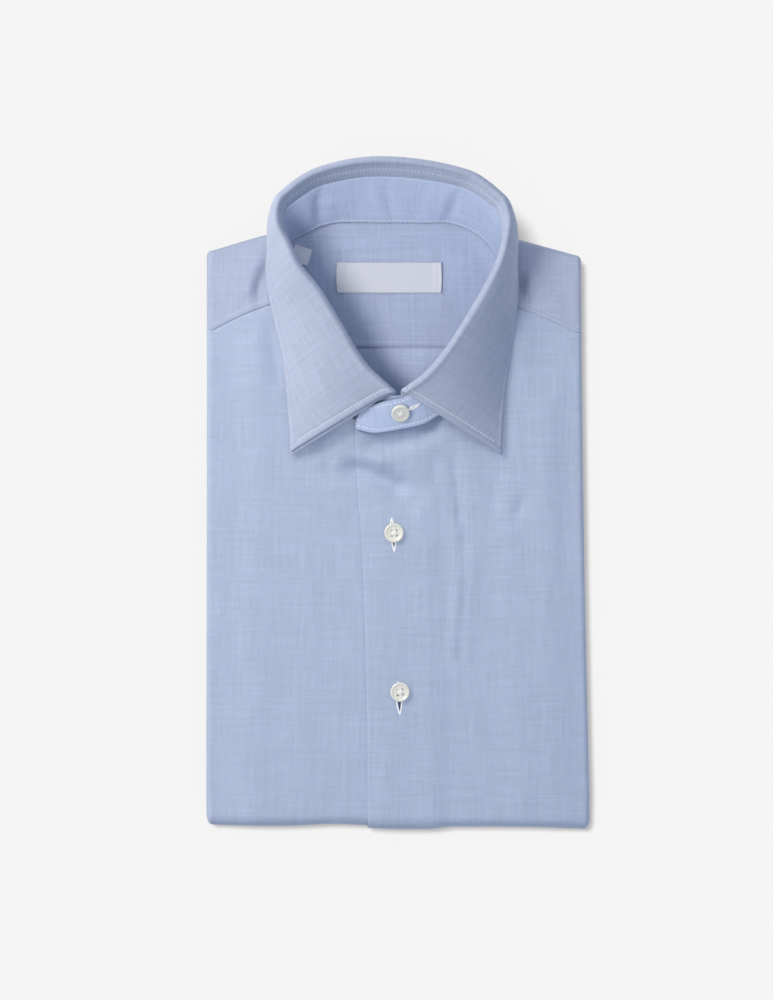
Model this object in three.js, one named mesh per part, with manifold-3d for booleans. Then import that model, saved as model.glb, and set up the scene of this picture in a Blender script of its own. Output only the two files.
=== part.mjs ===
// Long sleeve dress shirt, folded for a shelf: front up, buttoned, its collar standing.
// It lies on a table. X runs across it toward the wearer's left, Y runs up it toward the collar
// and Z is up. The origin is on the table under the middle of the front. Lengths are millimetres.
// The sides, with the sleeves on them, are folded behind. Then the tail is folded up behind, so
// the packet has a lower half and an upper half, joined by one big fold at the bottom edge.

import * as THREE from "three";
import { mergeVertices } from "three/addons/utils/BufferGeometryUtils.js";
import Module from "manifold-3d";

const wasm = await Module();
wasm.setup();

// Cloth
const clothWall = 1.2;
const collarWall = 1.7; // two layers and their interlining
const labelWall = 1;
const gap = 0.3; // between neighbouring pieces

// Packet heights
const bodyTop = 17; // fronts, midway across
const sideTop = 14.9; // fronts, where they start to roll over the sides
const upperFloor = 7.3; // underside of the upper half
const lowerTop = 7; // top of the lower half
const lowerLayers = 2;

// Rolled edges: how far each stands out from the flat of the panel
const sideRoll = 3.6;
const bottomRoll = 6.5;
const lip = 3; // cloth turned under past the roll
const cornerTurn = 14; // stretch over which the side roll grows into the bottom fold
const lowerSetback = 21; // the lower half starts this far above the bottom edge
const slope = { width: 26, atTop: 1.2 }; // the fronts fall toward the sides, and sooner toward the top

// Fronts
const placketRise = clothWall + gap; // the left front lies on the right one
const placketFall = 6; // width over which it comes down again past the overlap
const frontButton = { diameter: 11.4, height: 2.6 };
const collarButton = { diameter: 10.8, height: 2.6 };

// Neck opening
const neckCentre = new THREE.Vector2(-2, 100);
const yokeInside = { top: 13.2, bottom: 11.4 }; // double yoke, seen in the opening
const backInside = { top: 12.6, bottom: 11.4 };
const backSeamY = 85.6; // yoke to back
const backReach = 42; // the back runs on under the stand to here
const pocketFloor = yokeInside.bottom - gap;
const rimInset = 1.5; // the opening's raw edge lies inside the line of the stand's foot
const insideInset = rimInset + 0.4; // the yoke's and the back's insides end clear of that edge
const bridge = { low: 152, halfWidth: 44 }; // behind the opening the yoke's two faces join
const moundWidth = 16; // the fronts rise to the stand's foot over this width

// Collar
const standShare = 0.8; // of the way from foot to fold, where the leaf is sewn to the stand
const foldRadius = 2;
const leafBow = 1.6; // the leaf stands this far above a straight line from fold to edge
const rightPoint = -88; // turns, in degrees about the neck centre, at which the leaf ends
const leftPoint = 268;
const overlapEnd = -109; // rounded end of the stand on the wearer's left, on top
const underlapEnd = 283; // end of the stand on the wearer's right, beneath
const lap = { from: 236, to: 250, inside: 3.2 }; // the lower end steps inside the opening here
const endTurns = { over: 22, under: 12 }; // the ends are rounded over these turns

// A table is written as its column names and its rows.
function table(columns, rows) {
  const names = columns.split(" ");
  return rows.map((row) => Object.fromEntries(row.map((value, i) => [names[i], value])));
}

const bottomLine = table("x y", [
  [-111, -195.5], [-68, -196.1], [-41, -195], [-27, -195.5], [-9, -196.3],
  [14, -196.5], [32, -196.5], [73, -196.7], [114, -198.3],
]);
const topLine = table("x y", [
  [-112, 141], [-74, 151.9], [-45, 157.6], [-20, 160.7], [5, 161.5],
  [30, 160], [50, 155.6], [70, 149.6], [109, 138.8],
]);
const leftLine = table("y x", [[-198, -111.6], [0, -111.2], [141, -111.2]]);
const rightLine = table("y x", [[-198, 114.2], [-120, 112.3], [-30, 110.5], [60, 109.3], [140, 108.7]]);

// Edge of the left front, and the line where the right front ends beneath it
const placketEdge = table("y x", [
  [-200, -16.7], [-140, -17], [-80, -18.5], [-32, -20.2], [0, -22.4], [25, -23.8], [60, -24.4],
]);
const placketFold = table("y x", [
  [-200, 23.2], [-118, 22.5], [-48, 21], [-24, 18.8], [7, 15.6], [31, 14.2], [60, 13.8],
]);

// Yoke to front, from one side edge to the other across both shoulders
const yokeSeam = table("x y", [
  [-140, 78], [-111, 93.4], [-92, 103], [-74, 110], [-55, 115], [0, 119],
  [54, 114.4], [70, 109], [90, 101.5], [109, 92.7], [140, 78],
]);

// The line of the stand's foot, about the neck centre, and the height of the cloth that it stands on
const neckSeam = table("turn radius height", [
  [-100, 63.6, 20.8], [-88, 62.6, 20.8], [-73, 62.2, 20.7], [-64, 61, 20.4], [-37, 62.4, 19.2],
  [-9, 62.8, 18.2], [12, 65.8, 17.2], [31, 72.1, 16], [42, 72.3, 15], [50, 70.6, 14.1],
  [58, 68, 13.5], [75, 60.4, 13.3], [94, 58.6, 13.3], [110, 62.4, 13.3], [121, 68, 13.5],
  [131, 71.6, 14.2], [142, 75.5, 15.2], [154, 71, 16.6], [167, 67.7, 17.3], [189, 64, 18.2],
  [219, 61, 19.4], [246, 62.5, 20.6], [260, 63.6, 20.8],
]);

// The collar, a row for each section: the fold's crest, the way it faces in plan, and the leaf's edge
const collarLine = table("turn foldX foldY foldZ facing edgeX edgeY edgeZ", [
  [-88, 4.9, 57.9, 38, -30, 61.8, 22.8, 20.8],
  [-56, 19.2, 68.4, 41, -40, 62.8, 44.5, 20.2],
  [-35, 31.7, 83.4, 44, -35, 64.6, 63, 19.8],
  [-10, 45.8, 105.6, 47.5, -31, 67.9, 86.5, 19.2],
  [5, 53.8, 119.7, 49.5, -28, 70.1, 103, 18.8],
  [18, 60, 132.5, 50.5, -22, 70.7, 117.5, 18.3],
  [29, 63.4, 144.5, 51, -12, 70.4, 131, 17.8],
  [37, 64.9, 155, 50, 0, 69.6, 143.5, 17.2],
  [44, 63.7, 162.5, 48.5, 14, 67.5, 153.4, 13.5],
  [50, 60.3, 169.5, 47.2, 34, 62.5, 161.5, 9.5],
  [64, 40.8, 183.5, 44.4, 66, 41, 171.5, 6.6],
  [94, -7, 191.3, 43, 90, -6.5, 176.3, 6],
  [119, -45, 184.8, 44.4, 115, -45, 172, 6.7],
  [132, -65.2, 171, 47.6, 146, -67.2, 161.5, 9.5],
  [138, -68.9, 163, 49.3, 166, -72.4, 153.6, 15.2],
  [145, -68.3, 153, 50.6, 191, -74.6, 142, 17.4],
  [154, -63.6, 143.5, 51, 203, -75.4, 129.5, 18],
  [166, -56.9, 129.9, 50, 212, -73.6, 113, 18.4],
  [180, -46.5, 117, 48, 213, -70.4, 98, 18.8],
  [203, -34.6, 97.9, 45.2, 212, -65.8, 76, 19.4],
  [240, -19.3, 73.2, 41, 218, -62.6, 43.5, 20.2],
  [268, -2.4, 57.6, 38.4, 190, -61.4, 23.8, 20.8],
]);

// Soft creases in the fronts: a line, how far the cloth rises or sinks there, and over what width
const creases = table("fromX fromY toX toY rise width", [
  [-36, 15, 8, 1, -1.1, 8],
  [43, -39, 36.5, -103, 0.8, 7],
  [58, 12, 54, -86, -0.8, 9],
  [-92, 88, -94, -120, -0.6, 8],
  [70, -110, 76, -176, 0.6, 12],
]);

// A smooth curve through a table, from one named column to another
function through(rows, from, to) {
  const at = rows.map((row) => row[from]);
  const value = rows.map((row) => row[to]);
  const rate = value.map((_, i) => {
    const before = Math.max(i - 1, 0);
    const after = Math.min(i + 1, rows.length - 1);
    return (value[after] - value[before]) / (at[after] - at[before]);
  });
  return (x) => {
    let i = 0;
    while (i < at.length - 2 && x > at[i + 1]) i += 1;
    const span = at[i + 1] - at[i];
    const u = THREE.MathUtils.clamp((x - at[i]) / span, 0, 1);
    const rise = 3 * u ** 2 - 2 * u ** 3;
    const leave = (u ** 3 - 2 * u ** 2 + u) * span * rate[i];
    const arrive = (u ** 3 - u ** 2) * span * rate[i + 1];
    return THREE.MathUtils.lerp(value[i], value[i + 1], rise) + leave + arrive;
  };
}

const bottomY = through(bottomLine, "x", "y");
const topY = through(topLine, "x", "y");
const leftX = through(leftLine, "y", "x");
const rightX = through(rightLine, "y", "x");
const placketEdgeX = through(placketEdge, "y", "x");
const placketFoldX = through(placketFold, "y", "x");
const yokeSeamY = through(yokeSeam, "x", "y");
const seamRadius = through(neckSeam, "turn", "radius");
const seamHeight = through(neckSeam, "turn", "height");
const collar = Object.fromEntries(
  Object.keys(collarLine[0]).slice(1).map((name) => [name, through(collarLine, "turn", name)]),
);
const { smoothstep, lerp, clamp, degToRad, radToDeg } = THREE.MathUtils;

// Turns repeat, and the seam table covers one round from its first row.
function inRound(turn) {
  const first = neckSeam[0].turn;
  return first + ((((turn - first) % 360) + 360) % 360);
}

// Height that the creases add at a place
function creaseRise(x, y) {
  const place = new THREE.Vector2(x, y);
  return creases.reduce((sum, crease) => {
    const from = new THREE.Vector2(crease.fromX, crease.fromY);
    const along = new THREE.Vector2(crease.toX, crease.toY).sub(from);
    const share = clamp(place.clone().sub(from).dot(along) / along.lengthSq(), 0, 1);
    const away = place.distanceTo(from.addScaledVector(along, share)) / crease.width;
    return sum + crease.rise * Math.exp(-away * away);
  }, 0);
}

// Outer height of the fronts and shoulders, without the overlap of the placket
function frontHeight(x, y) {
  const toSide = Math.min(x - leftX(y), rightX(y) - x);
  const toTop = topY(x) - y;
  const inside = Math.min(toSide, toTop * slope.atTop);
  const flat = lerp(sideTop, bodyTop, smoothstep(inside, sideRoll, slope.width));
  const place = new THREE.Vector2(x, y).sub(neckCentre);
  const turn = inRound(radToDeg(place.angle()));
  const away = Math.max(place.length() - seamRadius(turn), 0) / moundWidth;
  return lerp(flat + creaseRise(x, y), seamHeight(turn), Math.exp(-away * away));
}

// How far the left front is raised by the right one beneath it
function overlapRise(x, y) {
  return placketRise * (1 - smoothstep(x - placketFoldX(y), 0, placketFall));
}

// A solid from a list of triangles' corners
function solid(corners) {
  return solidOf(new THREE.BufferGeometry().setFromPoints(corners));
}

// A solid from a closed geometry. Corners that coincide become one, and empty triangles go.
function solidOf(geometry) {
  const bare = geometry.clone();
  bare.deleteAttribute("normal");
  bare.deleteAttribute("uv");
  const merged = mergeVertices(bare, 1e-4);
  const index = Array.from(merged.index.array);
  const kept = [];
  for (let i = 0; i < index.length; i += 3) {
    const [a, b, c] = index.slice(i, i + 3);
    if (a !== b && b !== c && c !== a) kept.push(a, b, c);
  }
  return new wasm.Manifold(
    new wasm.Mesh({
      numProp: 3,
      vertProperties: merged.attributes.position.array,
      triVerts: new Uint32Array(kept),
    }),
  );
}

// An upright prism over an outline of plan points
function prism(outline, floor, ceiling) {
  const geometry = new THREE.ExtrudeGeometry(new THREE.Shape(outline), {
    depth: ceiling - floor,
    bevelEnabled: false,
  });
  return solidOf(geometry.translate(0, 0, floor));
}

// Shares of the way up the packet at which its panels have a row of points, closer near the collar
const rowShares = [
  0, 0.02, 0.05, 0.12, 0.2, 0.28, 0.36, 0.44, 0.51, 0.57, 0.62, 0.66, 0.7, 0.75, 0.81, 0.87, 0.93, 0.97, 1,
];

// Columns of points at a height: even steps to the placket, its own lines, and even steps past it
function columnsAt(y) {
  const first = leftX(y) + sideRoll;
  const last = rightX(y) - sideRoll;
  const edge = placketEdgeX(y);
  const fold = placketFoldX(y);
  const steps = 5;
  const share = (from, to) => Array.from({ length: steps }, (_, k) => lerp(from, to, k / steps));
  return [
    ...share(first, edge - 3), edge - 3, edge + 3, (edge + fold) / 2, fold,
    fold + placketFall, ...share(last, fold + placketFall).reverse().slice(0, -1), last,
  ];
}

// Plan points of a panel that runs from `start` above the bottom edge to the top edge, by column
// and row. A coarse one has every second column and every third row.
function planGrid(start, coarse = false) {
  const columns = columnsAt(0).map((x, i) => ({ x, i })).filter(({ i }) => !coarse || i % 2 === 0);
  const shares = rowShares.filter((_, j) => !coarse || j % 3 === 0);
  return columns.map(({ x, i }) =>
    shares.map((share) => {
      const y = lerp(bottomY(x) + start, topY(x) - sideRoll, share);
      return new THREE.Vector2(columnsAt(y)[i], y);
    }),
  );
}

// The rim of a grid, anticlockwise, with the way each point faces. A corner turns in four steps.
function rimOf(grid) {
  const last = { i: grid.length - 1, j: grid[0].length - 1 };
  const quarter = Math.PI / 2;
  const sides = [
    { facing: -quarter, cells: Array.from({ length: last.i + 1 }, (_, k) => [k, 0]) },
    { facing: 0, cells: Array.from({ length: last.j + 1 }, (_, k) => [last.i, k]) },
    { facing: quarter, cells: Array.from({ length: last.i + 1 }, (_, k) => [last.i - k, last.j]) },
    { facing: 2 * quarter, cells: Array.from({ length: last.j + 1 }, (_, k) => [0, last.j - k]) },
  ];
  return sides.flatMap(({ facing, cells }) => {
    const points = cells.map(([i, j]) => ({ i, j, facing, corner: false }));
    const [i, j] = cells.at(-1);
    const turned = [1, 2, 3].map((step) => ({ i, j, facing: facing + (step * quarter) / 4, corner: true }));
    points[0].corner = true;
    points.at(-1).corner = true;
    return [...points, ...turned];
  });
}

// A closed body over a plan grid, from its top height, the steps down its edge, and its floor height
function body(grid, topAt, stepsAt, floorAt) {
  const corners = [];
  const quad = (a, b, c, d) => corners.push(a, b, c, a, c, d);
  const last = { i: grid.length - 1, j: grid[0].length - 1 };
  const rim = rimOf(grid).map((entry) => {
    const place = grid[entry.i][entry.j];
    const inward = new THREE.Vector2(-Math.cos(entry.facing), -Math.sin(entry.facing));
    if (entry.corner) inward.set(entry.i ? -1 : 1, entry.j ? -1 : 1);
    return stepsAt(place, entry.facing, inward, topAt(place.x, place.y));
  });
  const tops = grid.map((column) => column.map((p) => new THREE.Vector3(p.x, p.y, topAt(p.x, p.y))));
  const floors = grid.map((column) => column.map((p) => new THREE.Vector3(p.x, p.y, floorAt(p.x, p.y))));
  rimOf(grid).forEach((entry, k) => {
    floors[entry.i][entry.j] = rim[k].at(-1);
  });
  for (let i = 0; i < last.i; i += 1) {
    for (let j = 0; j < last.j; j += 1) {
      quad(tops[i][j], tops[i + 1][j], tops[i + 1][j + 1], tops[i][j + 1]);
      quad(floors[i][j], floors[i][j + 1], floors[i + 1][j + 1], floors[i + 1][j]);
    }
  }
  rim.forEach((steps, k) => {
    const next = rim[(k + 1) % rim.length];
    for (let s = 0; s < steps.length - 1; s += 1) quad(steps[s], steps[s + 1], next[s + 1], next[s]);
  });
  return solid(corners);
}

// Share of the bottom fold in the edge at a place: 1 along the fold, 0 above the corner's turn
function foldShare(x, y) {
  return 1 - smoothstep(y - bottomY(x) - bottomRoll, 0, cornerTurn);
}

// The upper half of the packet with its rolled edges, drawn in by a depth all round and raised by
// `rise`. With a floor it has the lip's inner face and runs straight down from there to the floor.
function upperHalf({ depth, rise = () => 0, floor = null, edgeSteps = 6 }) {
  const grid = planGrid(bottomRoll);
  const topAt = (x, y) => frontHeight(x, y) + rise(x, y) - depth;
  const floorAt = (x, y) => floor ?? upperFloor * (1 - foldShare(x, y));
  const stepsAt = (place, facing, inward, top) => {
    const below = upperFloor * (1 - foldShare(place.x, place.y)) + depth;
    const atFold = Math.sin(facing) < 0;
    const roll = atFold ? bottomRoll + rise(place.x, place.y) : sideRoll;
    const outX = Math.cos(facing) * (sideRoll - depth);
    const outY = Math.sin(facing) * (roll - depth);
    const steps = Array.from({ length: edgeSteps + 1 }, (_, k) => {
      const angle = (k / edgeSteps) * Math.PI;
      const out = Math.sin(angle);
      const height = lerp(below, top, (1 + Math.cos(angle)) / 2);
      return new THREE.Vector3(place.x + outX * out, place.y + outY * out, height);
    });
    if (floor === null) return steps;
    const reach = lip + depth - clothWall;
    const inner = place.clone().addScaledVector(inward, reach);
    return [
      ...steps,
      new THREE.Vector3(inner.x, inner.y, below),
      new THREE.Vector3(inner.x, inner.y, floor),
    ];
  };
  return body(grid, topAt, stepsAt, floorAt);
}

// The lower half of the packet: flat layers with round edges and a shallow groove between them. The
// top one is drawn in a little.
function lowerHalf() {
  const grid = planGrid(lowerSetback + sideRoll, true);
  const layer = lowerTop / lowerLayers;
  const edgeSteps = 4;
  const groove = 0.45; // share of the roll that is left in the groove
  const stepsAt = (place, facing) => {
    const steps = [];
    for (let n = 0; n < lowerLayers; n += 1) {
      const drawnIn = n === 0 ? 0.4 : 0;
      for (let k = n === 0 ? 0 : 1; k <= edgeSteps; k += 1) {
        const angle = (k / edgeSteps) * Math.PI;
        const least = k === edgeSteps && n < lowerLayers - 1 ? groove : 0;
        const out = (sideRoll - drawnIn) * Math.max(Math.sin(angle), least);
        const height = lowerTop - n * layer - (layer * (1 - Math.cos(angle))) / 2;
        steps.push(new THREE.Vector3(
          place.x + Math.cos(facing) * out,
          place.y + Math.sin(facing) * out,
          height,
        ));
      }
    }
    return steps;
  };
  return body(grid, () => lowerTop, stepsAt, () => 0);
}

const far = 240; // past every edge of the shirt
const plan = (x, y) => new THREE.Vector2(x, y);

// What a function gives at even steps of its value, both ends too
function along(from, to, count, made) {
  return Array.from({ length: count + 1 }, (_, k) => made(lerp(from, to, k / count)));
}

// Plan outline of the neck opening, drawn in from the stand's foot: anticlockwise, from the front
function neckOutline(drawnIn) {
  const first = neckSeam[0].turn;
  return along(first, first + 360, 60, (turn) => {
    const angle = degToRad(turn);
    const radius = seamRadius(inRound(turn)) - drawnIn;
    return plan(neckCentre.x + radius * Math.cos(angle), neckCentre.y + radius * Math.sin(angle));
  }).slice(0, -1);
}

const everywhereBelowSeam = prism([
  plan(-far, -far),
  plan(far, -far),
  ...along(140, -140, 28, (x) => plan(x, yokeSeamY(x))),
], -far, far);
const everywhereAboveSeam = prism([
  ...along(-140, 140, 28, (x) => plan(x, yokeSeamY(x) + gap)),
  plan(far, far),
  plan(-far, far),
], -far, far);
const neckHole = prism(neckOutline(rimInset), -far, far);

// Right front: it ends at the left one's edge around the bottom fold, and above that it runs on
// beneath it to the placket's inner line.
function makeFrontRight(skin) {
  const beside = prism([
    plan(-far, -far),
    ...along(-200, 60, 13, (y) => plan(placketEdgeX(y) - gap, y)),
    plan(placketEdgeX(60) - gap, far),
    plan(-far, far),
  ], -far, far);
  const beneath = prism([
    ...along(-180, 60, 12, (y) => plan(placketFoldX(y) - 1, y)),
    ...along(60, -180, 12, (y) => plan(placketEdgeX(y) - 2, y)),
  ], upperFloor + clothWall, far);
  return skin.intersect(beside.add(beneath)).intersect(everywhereBelowSeam).subtract(neckHole);
}

// Left front: on top, from the placket's edge to the other side
function makeFrontLeft(skin) {
  const beside = prism([
    ...along(200, -far, 22, (y) => plan(placketEdgeX(y), y)),
    plan(far, -far),
    plan(far, far),
    plan(placketEdgeX(200), far),
  ], -far, far);
  return skin.intersect(beside).intersect(everywhereBelowSeam).subtract(neckHole);
}

// Plan of the yoke's inside: the opening above the back seam, and the bridge behind it, which ends
// this far short of the top edge. `spare` widens the bridge.
function yokeInsideOutline({ drawnIn, short, spare = 0 }) {
  const arc = neckOutline(drawnIn).filter((p) => p.y > backSeamY + 1 && p.y < bridge.low);
  const reach = bridge.halfWidth + spare;
  const behind = along(reach, -reach, 12, (x) => plan(x, topY(x) - short));
  const right = arc.filter((p) => p.x > reach);
  const left = arc.filter((p) => p.x < -reach);
  const corner = (side, turn) =>
    plan(neckCentre.x + side * (seamRadius(turn) - drawnIn - 1), backSeamY);
  return [corner(-1, 189), corner(1, -9), ...right, ...behind, ...left];
}

// Yoke: both shoulders, the roll over the top edge, and the inside that shows in the opening
function makeYoke(skin) {
  const low = prism([
    plan(-far, -far),
    plan(far, -far),
    plan(far, bridge.low),
    plan(-far, bridge.low),
  ], -far, far);
  const upperHole = prism(neckOutline(rimInset), yokeInside.top, far);
  const shoulders = skin
    .intersect(everywhereAboveSeam)
    .subtract(neckHole.intersect(low))
    .subtract(upperHole);
  const outline = yokeInsideOutline({ drawnIn: insideInset, short: 2.6 });
  return shoulders.add(prism(outline, yokeInside.bottom, yokeInside.top));
}

// Back: only its inside shows, between the yoke and the stand
function makeBack() {
  const arc = neckOutline(insideInset).filter((p) => p.y > backReach && p.y < backSeamY - 1);
  const right = arc.filter((p) => p.x > 0);
  const left = arc.filter((p) => p.x <= 0);
  const edge = backSeamY - gap;
  const outline = [...right, plan(right.at(-1).x, edge), plan(left[0].x, edge), ...left];
  return prism(outline, backInside.bottom, backInside.top);
}

// Everything hidden: the side folds and sleeves, and the tail folded up beneath them. It is cut out
// around the insides that show in the opening.
function makeFoldedLayers() {
  const upper = upperHalf({ depth: clothWall + gap, floor: 0, edgeSteps: 4 });
  const pocket = prism(neckOutline(rimInset - gap), pocketFloor, far);
  const outline = yokeInsideOutline({ drawnIn: rimInset, short: 1.2, spare: gap });
  return upper.add(lowerHalf()).subtract(pocket).subtract(prism(outline, pocketFloor, far));
}

// A closed wall about a grid of points, half its thickness to each side
function wall(points, thickness) {
  const last = { i: points.length - 1, j: points[0].length - 1 };
  const normalAt = (i, j) => {
    const across = points[Math.min(i + 1, last.i)][j].clone().sub(points[Math.max(i - 1, 0)][j]);
    const up = points[i][Math.min(j + 1, last.j)].clone().sub(points[i][Math.max(j - 1, 0)]);
    return across.cross(up).normalize();
  };
  const moved = (distance) => points.map((column, i) =>
    column.map((p, j) => p.clone().addScaledVector(normalAt(i, j), distance)));
  const a = moved(thickness / 2);
  const b = moved(-thickness / 2);
  const corners = [];
  const quad = (p, q, r, s) => corners.push(p, q, r, p, r, s);
  for (let i = 0; i < last.i; i += 1) {
    for (let j = 0; j < last.j; j += 1) {
      quad(a[i][j], a[i + 1][j], a[i + 1][j + 1], a[i][j + 1]);
      quad(b[i][j], b[i][j + 1], b[i + 1][j + 1], b[i + 1][j]);
    }
    quad(b[i][0], b[i + 1][0], a[i + 1][0], a[i][0]);
    quad(a[i][last.j], a[i + 1][last.j], b[i + 1][last.j], b[i][last.j]);
  }
  for (let j = 0; j < last.j; j += 1) {
    quad(a[0][j], a[0][j + 1], b[0][j + 1], b[0][j]);
    quad(b[last.i][j], b[last.i][j + 1], a[last.i][j + 1], a[last.i][j]);
  }
  return solid(corners);
}

// How far the stand's lower end has stepped inside the opening at a turn: 0 before the lap, 1 past it
function lapShare(turn) {
  return smoothstep(turn, lap.from, lap.to);
}

// Middle of the stand's foot at a turn. It stands on the fronts, over the placket too. The end on
// top runs a little straighter than the neck, and the end beneath steps inside the opening.
function footAt(turn) {
  const angle = degToRad(turn);
  const straighter = 3 * smoothstep(-turn, 80, -overlapEnd);
  const inside = lap.inside * lapShare(turn);
  const radius = seamRadius(inRound(turn)) + straighter - inside;
  const onPlacket = placketRise * smoothstep(-turn, 52, 66);
  return new THREE.Vector3(
    neckCentre.x + radius * Math.cos(angle),
    neckCentre.y + radius * Math.sin(angle),
    seamHeight(inRound(turn)) + onPlacket + gap + collarWall / 2,
  );
}

// The fold's crest and its inner and outer flanks at a turn
function foldAt(turn) {
  const top = new THREE.Vector3(collar.foldX(turn), collar.foldY(turn), collar.foldZ(turn));
  const crest = top.setZ(top.z - collarWall / 2);
  const facing = degToRad(collar.facing(turn));
  const out = new THREE.Vector3(Math.cos(facing), Math.sin(facing), 0);
  const flank = (side) => crest.clone().addScaledVector(out, side * foldRadius).setZ(crest.z - foldRadius);
  return { crest, out, inner: flank(-1), outer: flank(1) };
}

// At the front the stand's two ends lie on each other, the lower one moved in by a wall and two gaps.
function lapShift(turn) {
  return -(collarWall + 2 * gap) * lapShare(turn);
}

// Top of the stand at a turn. Past the leaf's ends it follows the foot.
function standTopAt(turn) {
  const held = clamp(turn, rightPoint, leftPoint);
  const foot = footAt(held);
  const top = foot.clone().lerp(foldAt(held).inner, standShare);
  const past = footAt(turn).sub(foot);
  const sink = 3 * smoothstep(-turn, -rightPoint, -overlapEnd);
  return top.add(past.setZ(past.z - sink));
}

// The way the stand's outer side faces at a turn
function standFacing(turn) {
  const across = footAt(turn + 1).sub(footAt(turn - 1));
  const up = standTopAt(turn).sub(footAt(turn));
  return across.cross(up).normalize();
}

// A point of the stand, from foot (0) to top (1), moved by the lap
function standAt(turn, share) {
  const point = footAt(turn).lerp(standTopAt(turn), share);
  return point.addScaledVector(standFacing(turn), lapShift(turn));
}

// Share of the stand's height that is left near its ends, which are rounded
function endShare(turn) {
  const least = 0.35;
  const past = Math.max(
    1 - (turn - overlapEnd) / endTurns.over,
    1 - (underlapEnd - turn) / endTurns.under,
    0,
  );
  return Math.max(Math.cbrt(1 - Math.min(past, 1) ** 3), least);
}

function makeStand() {
  const sections = 50;
  const turns = [
    overlapEnd, overlapEnd + 1.2, overlapEnd + 4, overlapEnd + 9, overlapEnd + 14,
    ...along(rightPoint, underlapEnd - 6, sections, (turn) => turn),
    underlapEnd - 2, underlapEnd,
  ];
  const shares = [0, 0.5, 1];
  const section = (turn) => shares.map((share) => standAt(turn, share * endShare(turn)));
  return wall(turns.map(section), collarWall);
}

// The leaf starts this far past the stand's top: more where the lower end steps down at the front
function seamClear(turn) {
  return 1.3 * gap + 0.9 * smoothstep(turn, 240, 262);
}

// Points of the leaf at a turn: up from its seam, over the fold and down to its edge
function leafSection(turn) {
  const { crest, out, inner, outer } = foldAt(turn);
  const seam = standAt(turn, 1);
  const start = seam.clone().add(inner.clone().sub(standAt(turn, 0)).setLength(seamClear(turn)));
  const edge = new THREE.Vector3(collar.edgeX(turn), collar.edgeY(turn), collar.edgeZ(turn));
  const bowed = (share, amount) =>
    outer.clone().lerp(edge, share).addScaledVector(out, amount * leafBow).add(
      new THREE.Vector3(0, 0, amount * leafBow));
  const run = [start, inner, crest, outer, bowed(0.3, 1), bowed(0.65, 0.9), edge];
  const curve = new THREE.CatmullRomCurve3(run, false, "centripetal");
  return curve.getPoints(11);
}

function makeLeaf() {
  const sections = 46;
  return wall(along(rightPoint, leftPoint, sections, leafSection), collarWall);
}

// A four-hole button with a raised rim, its underside at its own origin
function makeButton({ diameter, height }) {
  const r = diameter / 2;
  const profile = table("radius z", [
    [0, 0], [0.72, 0], [0.96, 0.3], [1, 0.55], [0.93, 0.9], [0.8, 1], [0.66, 0.85], [0.5, 0.66], [0, 0.62],
  ]).map((row) => new THREE.Vector2(row.radius * r, row.z * height));
  const disc = solidOf(new THREE.LatheGeometry(profile, 18).rotateX(Math.PI / 2));
  const holeRadius = 0.13 * r;
  const spacing = 0.24 * r;
  return [[1, 1], [1, -1], [-1, -1], [-1, 1]].reduce((button, [sx, sy]) => {
    const hole = new THREE.CylinderGeometry(holeRadius, holeRadius, 3 * height, 6).rotateX(Math.PI / 2);
    return button.subtract(solidOf(hole.translate(sx * spacing, sy * spacing, 0)));
  }, disc);
}

// A woven label lying on the yoke's inside, turned by an angle about its middle
function makeLabel({ x, y, width, length, turned }) {
  const rows = [-0.5, 0.5];
  const middle = new THREE.Vector3(x, y, yokeInside.top + gap + labelWall / 2);
  const axis = new THREE.Vector3(0, 0, 1);
  const points = rows.map((u) => rows.map((v) =>
    new THREE.Vector3(u * width, v * length, 0).applyAxisAngle(axis, degToRad(turned)).add(middle)));
  return wall(points, labelWall);
}

const finishes = {
  cloth: { color: "#a9bad8", roughness: 0.85, metalness: 0 },
  shell: { color: "#d8dad2", roughness: 0.35, metalness: 0 },
  satin: { color: "#e2e4ea", roughness: 0.6, metalness: 0 },
};

const shirt = new THREE.Group();

function addPiece(name, made, finish) {
  const { numProp, vertProperties, triVerts } = made.getMesh();
  const geometry = new THREE.BufferGeometry()
    .setAttribute("position", new THREE.BufferAttribute(vertProperties, numProp))
    .setIndex(new THREE.BufferAttribute(triVerts, 1));
  const mesh = new THREE.Mesh(geometry, new THREE.MeshStandardMaterial(finishes[finish]));
  mesh.name = name;
  shirt.add(mesh);
  return mesh;
}

// One wall of cloth around the packet, open below. The left front's lies over the right front's.
function clothSkin(rise) {
  const underTable = -5;
  return upperHalf({ depth: 0, rise }).subtract(upperHalf({ depth: clothWall, rise, floor: underTable }));
}

const plainSkin = clothSkin(() => 0);
const raisedSkin = clothSkin(overlapRise);

addPiece("folded_layers", makeFoldedLayers(), "cloth");
addPiece("back", makeBack(), "cloth");
addPiece("yoke", makeYoke(plainSkin), "cloth");
addPiece("front_right", makeFrontRight(plainSkin), "cloth");
addPiece("front_left", makeFrontLeft(raisedSkin), "cloth");
addPiece("collar_stand", makeStand(), "cloth");
addPiece("collar_leaf", makeLeaf(), "cloth");

// Buttons, each a gap above the cloth that it is sewn to
const buttonSpots = table("number x y", [[1, -1.2, -23.7], [2, 2.3, -116.7]]);
buttonSpots.forEach(({ number, x, y }) => {
  const mesh = addPiece(`front_button_${number}`, makeButton(frontButton), "shell");
  mesh.position.set(x, y, frontHeight(x, y) + overlapRise(x, y) + gap);
});

const onStand = { turn: -87, share: 0.56 };
const standOut = standFacing(onStand.turn);
const buttonMesh = addPiece("collar_button", makeButton(collarButton), "shell");
const buttonPlace = standAt(onStand.turn, onStand.share).addScaledVector(standOut, collarWall / 2 + gap);
buttonMesh.position.copy(buttonPlace);
buttonMesh.quaternion.setFromUnitVectors(new THREE.Vector3(0, 0, 1), standOut);

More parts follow.
